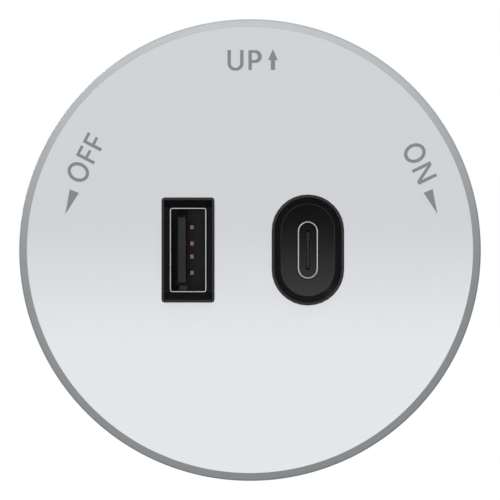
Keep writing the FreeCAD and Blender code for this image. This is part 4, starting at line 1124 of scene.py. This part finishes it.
def draw_n(pen):
    """The letter N."""
    half, stem, slant, top, drop = 1.27, 0.774, 0.66, 1.57, 0.72
    pen.start(-half, -top).lines((-stem, -top), (-stem, top - drop), (slant, -top))
    pen.lines((half, -top), (half, top), (stem, top), (stem, drop - top))
    pen.lines((-slant, top), (-half, top)).close()


def draw_arrow(pen):
    """An arrow that points up."""
    head, stem, shoulder, bottom, tip = 0.759, 0.331, -0.019, -1.528, 1.649
    pen.start(-stem, bottom).lines((stem, bottom), (stem, shoulder), (head, shoulder))
    pen.lines((0, tip), (-head, shoulder), (-stem, shoulder)).close()


def draw_pointer(pen):
    """A slim triangle that points down."""
    half, half_height = 0.76, 1.92
    pen.start(0, -half_height).lines((half, half_height), (-half, half_height)).close()


def picture_place(px, py):
    """The place on the face that a pixel of the photograph shows."""
    half = PICTURE_WIDTH / 2
    return Vector(((px - half) / PIXELS_PER_METRE, 0, (half - py) / PIXELS_PER_METRE))


# Each mark's name, its drawing, its middle in the photograph and its turn in degrees

OFF_TURN = 62.4
ON_TURN = -64.2
MARKS = (
    ("mark_up_u", draw_u, (235.5, 60.0), 0.0),
    ("mark_up_p", draw_p, (255.15, 60.05), 0.0),
    ("mark_up_arrow", draw_arrow, (272.95, 60.0), 0.0),
    ("mark_off_o", draw_o, (78.3, 171.95), OFF_TURN),
    ("mark_off_f_1", draw_f, (87.35, 154.8), OFF_TURN),
    ("mark_off_f_2", draw_f, (94.2, 141.75), OFF_TURN),
    ("mark_off_pointer", draw_pointer, (69.75, 202.75), -21.5),
    ("mark_on_o", draw_o, (414.85, 153.1), ON_TURN),
    ("mark_on_n", draw_n, (424.4, 173.1), ON_TURN),
    ("mark_on_pointer", draw_pointer, (432.8, 202.5), 22.1),
)


class TRACKSOCKET_OT_marks(bpy.types.Operator):
    """Prints the switch marks on the face: UP, OFF, ON, an arrow and two pointers"""

    bl_idname = "track_socket.marks"
    bl_label = "Printed marks"

    def execute(self, context):
        for name, draw, pixel, degrees in MARKS:
            pen = Pen()
            draw(pen)
            self.print_mark(pen.bm, name, pixel, degrees)
        return {"FINISHED"}

    def print_mark(self, bm, name, pixel, degrees):
        """Fills a mark's outline, puts it on the face and gives the ink its height."""
        ink = settings().marks.ink
        bmesh.ops.remove_doubles(bm, verts=bm.verts, dist=SAME_POINT)
        fill(bm, [bm.edges[:]])
        turn = Matrix.Rotation(-math.radians(degrees), 4, "Y")
        bmesh.ops.transform(bm, matrix=turn, verts=bm.verts)
        place = picture_place(*pixel) + Vector((0, FACE_Y + ink, 0))
        bmesh.ops.translate(bm, verts=bm.verts, vec=place)
        geom = bmesh.ops.extrude_face_region(bm, geom=bm.faces[:])["geom"]
        moved = [g for g in geom if isinstance(g, bmesh.types.BMVert)]
        bmesh.ops.translate(bm, verts=moved, vec=(0, -2 * ink, 0))
        outward(bm)
        piece(bm, name, [paint("ink")], "adapter", "face_metal")


# The back


class TRACKSOCKET_OT_cover_screws(bpy.types.Operator):
    """Builds the two screws of the rear cover, with domed heads and cross recesses"""

    bl_idname = "track_socket.cover_screws"
    bl_label = "Cover screws"

    def execute(self, context):
        sizes = settings().screws
        circle_x = high("cover_screws").x - sizes.head / 2
        bm = bmesh.new()
        for x in (-circle_x, circle_x):
            self.screw(bm, Vector((x, 0, 0)), sizes)
        outward(bm)
        finishes = [paint("screw")]
        piece(bm, "cover_screw_pair", finishes, "adapter", "screw_steel", "cover_screws")
        return {"FINISHED"}

    def screw(self, bm, centre, sizes):
        """One screw: its shank and head are turned, and the cross is sunk into the crown."""
        tip_y, top_y = low("cover_screws").y, high("cover_screws").y
        seat_y = top_y - sizes.head_height
        shank, head, crown = sizes.shank / 2, sizes.head / 2, sizes.crown / 2
        profile = [(crown, top_y)]
        for i in range(1, DOME_STEPS + 1):
            turn = math.pi / 2 * i / DOME_STEPS
            radius = crown + (head - crown) * math.sin(turn)
            profile.append((radius, top_y - sizes.dome * (1 - math.cos(turn))))
        profile += [(head, seat_y), (shank, seat_y), (shank, tip_y + shank), (0, tip_y)]
        spun(bm, profile, SCREW_STEPS, centre)
        crown_edge = [e for e in open_edges(bm, top_y) if e.verts[0].co.x * centre.x > 0]
        before = set(bm.edges)
        arm, half = sizes.recess_arm / MM, sizes.recess_width / MM / 2
        corners = [
            Matrix.Rotation(math.pi / 2 * turn, 2) @ Vector(corner)
            for turn in range(4)
            for corner in ((-half, -arm), (half, -arm), (half, -half))
        ]
        Pen(bm, centre + TWIST_AXIS * top_y).start(*corners[0]).lines(*corners[1:]).close()
        cross = [e for e in bm.edges if e not in before]
        fill(bm, [crown_edge, cross])
        foot = run_to(bm, cross, top_y - sizes.recess_depth)
        for v in {v for e in foot for v in e.verts}:
            v.co.x = centre.x + (v.co.x - centre.x) * RECESS_TAPER
            v.co.z *= RECESS_TAPER
        fill(bm, [foot])


# Each piece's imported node, name, finish, body, slot and the width of its eased edges

BACK_PIECES = (
    ("rear_cover", "rear_cover_shell", "rear", "adapter", "rear_black", 0.15),
    ("track_base", "track_base_ring", "rear", "track_base", "rear_black", 0.15),
    ("spindle_body", "spindle_bar", "spindle", "adapter", "spindle_grey", 0.15),
    ("spindle_tip", "spindle_cap", "spindle", "adapter", "spindle_grey", 0.12),
)


class TRACKSOCKET_OT_back(bpy.types.Operator):
    """Builds the rear cover, the track base and the locking spindle"""

    bl_idname = "track_socket.back"
    bl_label = "Back"

    def execute(self, context):
        for back_piece in BACK_PIECES:
            eased_copy(*back_piece)
        return {"FINISHED"}


# Each line's name, and its lead's colour

LEADS = (("live", "brown"), ("neutral", "blue"), ("earth", "green"))


class TRACKSOCKET_OT_track_contacts(bpy.types.Operator):
    """Builds the three sprung contacts with their springs and leads"""

    bl_idname = "track_socket.track_contacts"
    bl_label = "Track contacts"

    def execute(self, context):
        for line, tint in LEADS:
            shoe, spring, lead = f"{line}_shoe", f"{line}_spring", f"{line}_lead"
            eased_copy(f"{line}_contact", f"{shoe}_nose", "copper", shoe, "shoe_copper", 0.08)
            leaf = eased_copy(spring, f"{spring}_leaf", "spring", None, "spring_steel", 0.04)
            self.follow(leaf, shoe, spring, SPRING_FOOT, SPRING_FOOT)
            wire = eased_copy(lead, f"{lead}_wire", tint, None, f"lead_{tint}", 0.15)
            self.follow(wire, shoe, lead, LEAD_BEND, SPRING_FOOT)
        return {"FINISHED"}

    @staticmethod
    def follow(flexing, shoe, node, inner, outer):
        """Bakes a spring's or a lead's place into its own mesh."""
        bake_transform(flexing)


# Each finish inside: its name, levels, roughness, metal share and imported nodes

CHIPS = ("header_block", "bridge_rectifier", "optocoupler", "control_chip")
INNER_FINISHES = (
    ("Glue pad", (60, 60, 62), 0.8, 0.0, ("face_pads",)),
    ("Board green", (32, 84, 52), 0.4, 0.0, ("usb_board", "power_board")),
    ("Component black", (34, 34, 36), 0.45, 0.0, CHIPS),
    ("Pin tin", (200, 200, 196), 0.3, 1.0, ("board_pins", "transformer_pins")),
    ("Ferrite", (70, 70, 74), 0.6, 0.0, ("transformer_core", "line_choke")),
    ("Bobbin resin", (40, 38, 36), 0.5, 0.0, ("transformer_bobbin",)),
    ("Coil tape", (214, 178, 60), 0.4, 0.0, ("transformer_winding",)),
    ("Can sleeve", (36, 52, 92), 0.35, 0.0, ("bulk_capacitor", "output_capacitor")),
    ("Fuse brown", (92, 58, 40), 0.5, 0.0, ("fuse",)),
    ("Film yellow", (214, 170, 48), 0.45, 0.0, ("line_capacitor",)),
    ("Film blue", (48, 96, 160), 0.4, 0.0, ("safety_capacitor",)),
    ("Barrier sheet", (224, 222, 212), 0.5, 0.0, ("barrier_sheet",)),
    ("Spring strip", (170, 172, 176), 0.3, 1.0, ("click_spring",)),
)


class TRACKSOCKET_OT_inner_parts(bpy.types.Operator):
    """Gives the boards, the transformer and the other parts inside their finishes"""

    bl_idname = "track_socket.inner_parts"
    bl_label = "Inner parts"

    def execute(self, context):
        for name, levels, roughness, metal, nodes in INNER_FINISHES:
            material = finish(name, linear(*levels), roughness, MOULDED, {METAL: metal})
            for node in nodes:
                dress(node, material)
        return {"FINISHED"}


# The stage


# Each lamp's name, setting, direction, spread in degrees and whether gloss shows it

LAMPS = (
    ("Front lamp", "front", (0, 1, 0), 20, False),
    ("Key lamp", "key", (1, 1, -1), 20, True),
    ("Top lamp", "top", (0, 0, -1), 30, False),
    ("Left back lamp", "left", (1.0, -1.2, -0.6), 30, True),
    ("Right back lamp", "right", (-1.0, -1.2, -0.4), 30, False),
)


def seen(tree):
    """1 where the camera, a gloss or a clear piece looks, 0 where light only bounces."""
    path = add_node(tree, "LightPath").outputs
    either = path["Is Camera Ray"]
    for ray in ("Is Glossy Ray", "Is Transmission Ray"):
        rays = {0: either, 1: path[ray]}
        either = add_node(tree, "Math", rays, operation="MAXIMUM").outputs["Value"]
    return either


class TRACKSOCKET_OT_studio(bpy.types.Operator):
    """Sets up the camera, the soft lamps, the pale floor and the reflector in front"""

    bl_idname = "track_socket.studio"
    bl_label = "Studio"

    def execute(self, context):
        self.camera()
        for lamp in LAMPS:
            self.sun(*lamp)
        self.room()
        self.floor()
        self.reflector()
        return {"FINISHED"}

    def camera(self):
        """The camera straight in front of the face, at the photograph's scale."""
        data = bpy.data.cameras.new("Camera")
        data.sensor_width = SENSOR_WIDTH
        data.lens = data.sensor_width * CAMERA_DISTANCE * PIXELS_PER_METRE / PICTURE_WIDTH
        camera = placed("Camera", data)
        camera.location = (0, FACE_Y - CAMERA_DISTANCE, 0)
        camera.rotation_euler = (math.pi / 2, 0, 0)
        bpy.context.scene.camera = camera

    def sun(self, name, setting, direction, spread, shines):
        """A soft distant lamp. A strength of 1 lights white fully."""
        data = bpy.data.lights.new(name, "SUN")
        data.energy = getattr(settings().light, setting) * math.pi
        data.angle = math.radians(spread)
        lamp = placed(name, data)
        lamp.rotation_euler = Vector(direction).to_track_quat("-Z", "Y").to_euler()
        lamp.visible_glossy = shines

    def room(self):
        """Even light, and white where the camera or gloss looks past the object."""
        world = bpy.data.worlds.new("Room")
        world.use_nodes = True
        tree = world.node_tree
        background = tree.nodes["Background"]
        background.inputs["Color"].default_value = (1, 1, 1, 1)
        ends = {"Value": seen(tree), "To Min": settings().light.room, "To Max": 1.0}
        level = add_node(tree, "MapRange", ends).outputs["Result"]
        tree.links.new(level, background.inputs["Strength"])
        bpy.context.scene.world = world

    def floor(self):
        """A round floor under the object, which takes its shadow."""
        bm = bmesh.new()
        bmesh.ops.create_circle(bm, cap_ends=True, segments=FLOOR_STEPS, radius=FLOOR_RADIUS)
        bmesh.ops.translate(bm, verts=bm.verts, vec=(0, 0, -FLOOR_DROP))
        floor = shaped(bm, "Floor", self.floor_paint())

    def floor_paint(self):
        """A matte pale paint that fades out with the distance from the middle."""
        material, shader = new_material("Pale floor")
        tree = material.node_tree
        shader.inputs["Roughness"].default_value = FLOOR_ROUGHNESS
        shader.inputs[SHEEN].default_value = 0.0
        lit, shown = linear(*[FLOOR_LIT_LEVEL] * 3), linear(*[FLOOR_SEEN_LEVEL] * 3)
        tint = {"A": lit, "B": shown, "Factor": seen(tree)}
        colour_mix = add_node(tree, "Mix", tint, data_type="RGBA")
        tree.links.new(colour_mix.outputs["Result"], shader.inputs["Base Color"])
        place = add_node(tree, "TexCoord").outputs["Object"]
        away = add_node(tree, "VectorMath", {0: place}, operation="LENGTH").outputs["Value"]
        ends = {"Value": away, "From Min": FLOOR_FADE[0], "From Max": FLOOR_FADE[1]}
        fade = add_node(tree, "MapRange", ends, interpolation_type="SMOOTHSTEP")
        clear = add_node(tree, "BsdfTransparent").outputs["BSDF"]
        blend = {"Fac": fade.outputs["Result"], 1: shader.outputs["BSDF"], 2: clear}
        mixed = add_node(tree, "MixShader", blend).outputs["Shader"]
        tree.links.new(mixed, tree.nodes["Material Output"].inputs["Surface"])
        return material

    def reflector(self):
        """A graded card in front, dark above and bright below, that only gloss sees."""
        bm = bmesh.new()
        bmesh.ops.create_grid(bm, size=CARD_HALF)
        turn = Matrix.Rotation(math.pi / 2, 4, "X")
        bmesh.ops.transform(bm, matrix=turn, verts=bm.verts)
        bmesh.ops.translate(bm, verts=bm.verts, vec=(0, FACE_Y - CARD_DISTANCE, 0))
        card = shaped(bm, "Reflector", self.card_glow())
        for way in ("camera", "diffuse", "shadow", "transmission"):
            setattr(card, f"visible_{way}", False)

    def card_glow(self):
        """The card's glow, graded between the heights on the face where it is mirrored."""
        light = settings().light
        mirrored = 1 + CARD_DISTANCE / CAMERA_DISTANCE
        material, glow = new_material("Reflector grade", "Emission")
        tree = material.node_tree
        place = add_node(tree, "TexCoord").outputs["Object"]
        height = add_node(tree, "SeparateXYZ", {"Vector": place}).outputs["Z"]
        ends = {
            "Value": height,
            "From Min": light.grade_top * mirrored,
            "From Max": light.grade_bottom * mirrored,
            "To Min": 0.0,
            "To Max": light.card,
        }
        grade = add_node(tree, "MapRange", ends).outputs["Result"]
        tree.links.new(grade, glow.inputs["Strength"])
        return material


# The add-on


class TrackSocketSettings(bpy.types.PropertyGroup):
    """Every value of the socket that a user would change."""

    drum: PointerProperty(type=DrumSizes, name="Drum", description="Face and drum")
    pockets: PointerProperty(type=PocketSizes, name="Pockets", description="Port pockets")
    screws: PointerProperty(type=ScrewSizes, name="Screws", description="Cover screws")
    marks: PointerProperty(type=MarkSizes, name="Marks", description="Printed marks")
    colours: PointerProperty(type=SocketColours, name="Colours", description="Finishes")
    light: PointerProperty(type=StudioLight, name="Light", description="Studio light")


OPERATORS = (
    TRACKSOCKET_OT_studio,
    TRACKSOCKET_OT_face_plate,
    TRACKSOCKET_OT_drum,
    TRACKSOCKET_OT_usb_a_pocket,
    TRACKSOCKET_OT_usb_c_pocket,
    TRACKSOCKET_OT_usb_a_port,
    TRACKSOCKET_OT_usb_c_port,
    TRACKSOCKET_OT_marks,
    TRACKSOCKET_OT_cover_screws,
    TRACKSOCKET_OT_back,
    TRACKSOCKET_OT_track_contacts,
    TRACKSOCKET_OT_inner_parts,
)


class TRACKSOCKET_PT_panel(bpy.types.Panel):
    """Lists the socket's pieces in the sidebar"""

    bl_idname = "TRACKSOCKET_PT_panel"
    bl_label = "Track socket"
    bl_space_type = "VIEW_3D"
    bl_region_type = "UI"
    bl_category = "Track socket"

    def draw(self, context):
        """Draws a button for each operator and a box for each group of settings."""
        for operator in OPERATORS:
            self.layout.operator(operator.bl_idname)
        for group_name in TrackSocketSettings.__annotations__:
            box = self.layout.box()
            box.label(text=group_name.capitalize())
            group = getattr(settings(), group_name)
            for name in group.__annotations__:
                box.prop(group, name)


CLASSES = (
    DrumSizes,
    PocketSizes,
    ScrewSizes,
    MarkSizes,
    SocketColours,
    StudioLight,
    TrackSocketSettings,
    *OPERATORS,
    TRACKSOCKET_PT_panel,
)


def register():
    """Registers the classes and gives every scene its settings."""
    for item in CLASSES:
        bpy.utils.register_class(item)
    bpy.types.Scene.track_socket = PointerProperty(type=TrackSocketSettings)


def unregister():
    """Takes the settings and the classes away again."""
    del bpy.types.Scene.track_socket
    for item in reversed(CLASSES):
        bpy.utils.unregister_class(item)


def main():
    """Builds every piece in order."""
    register()
    bpy.context.scene.view_settings.view_transform = "Standard"
    for operator in OPERATORS:
        group, name = operator.bl_idname.split(".")
        getattr(getattr(bpy.ops, group), name)()


if __name__ == "__main__":
    main()
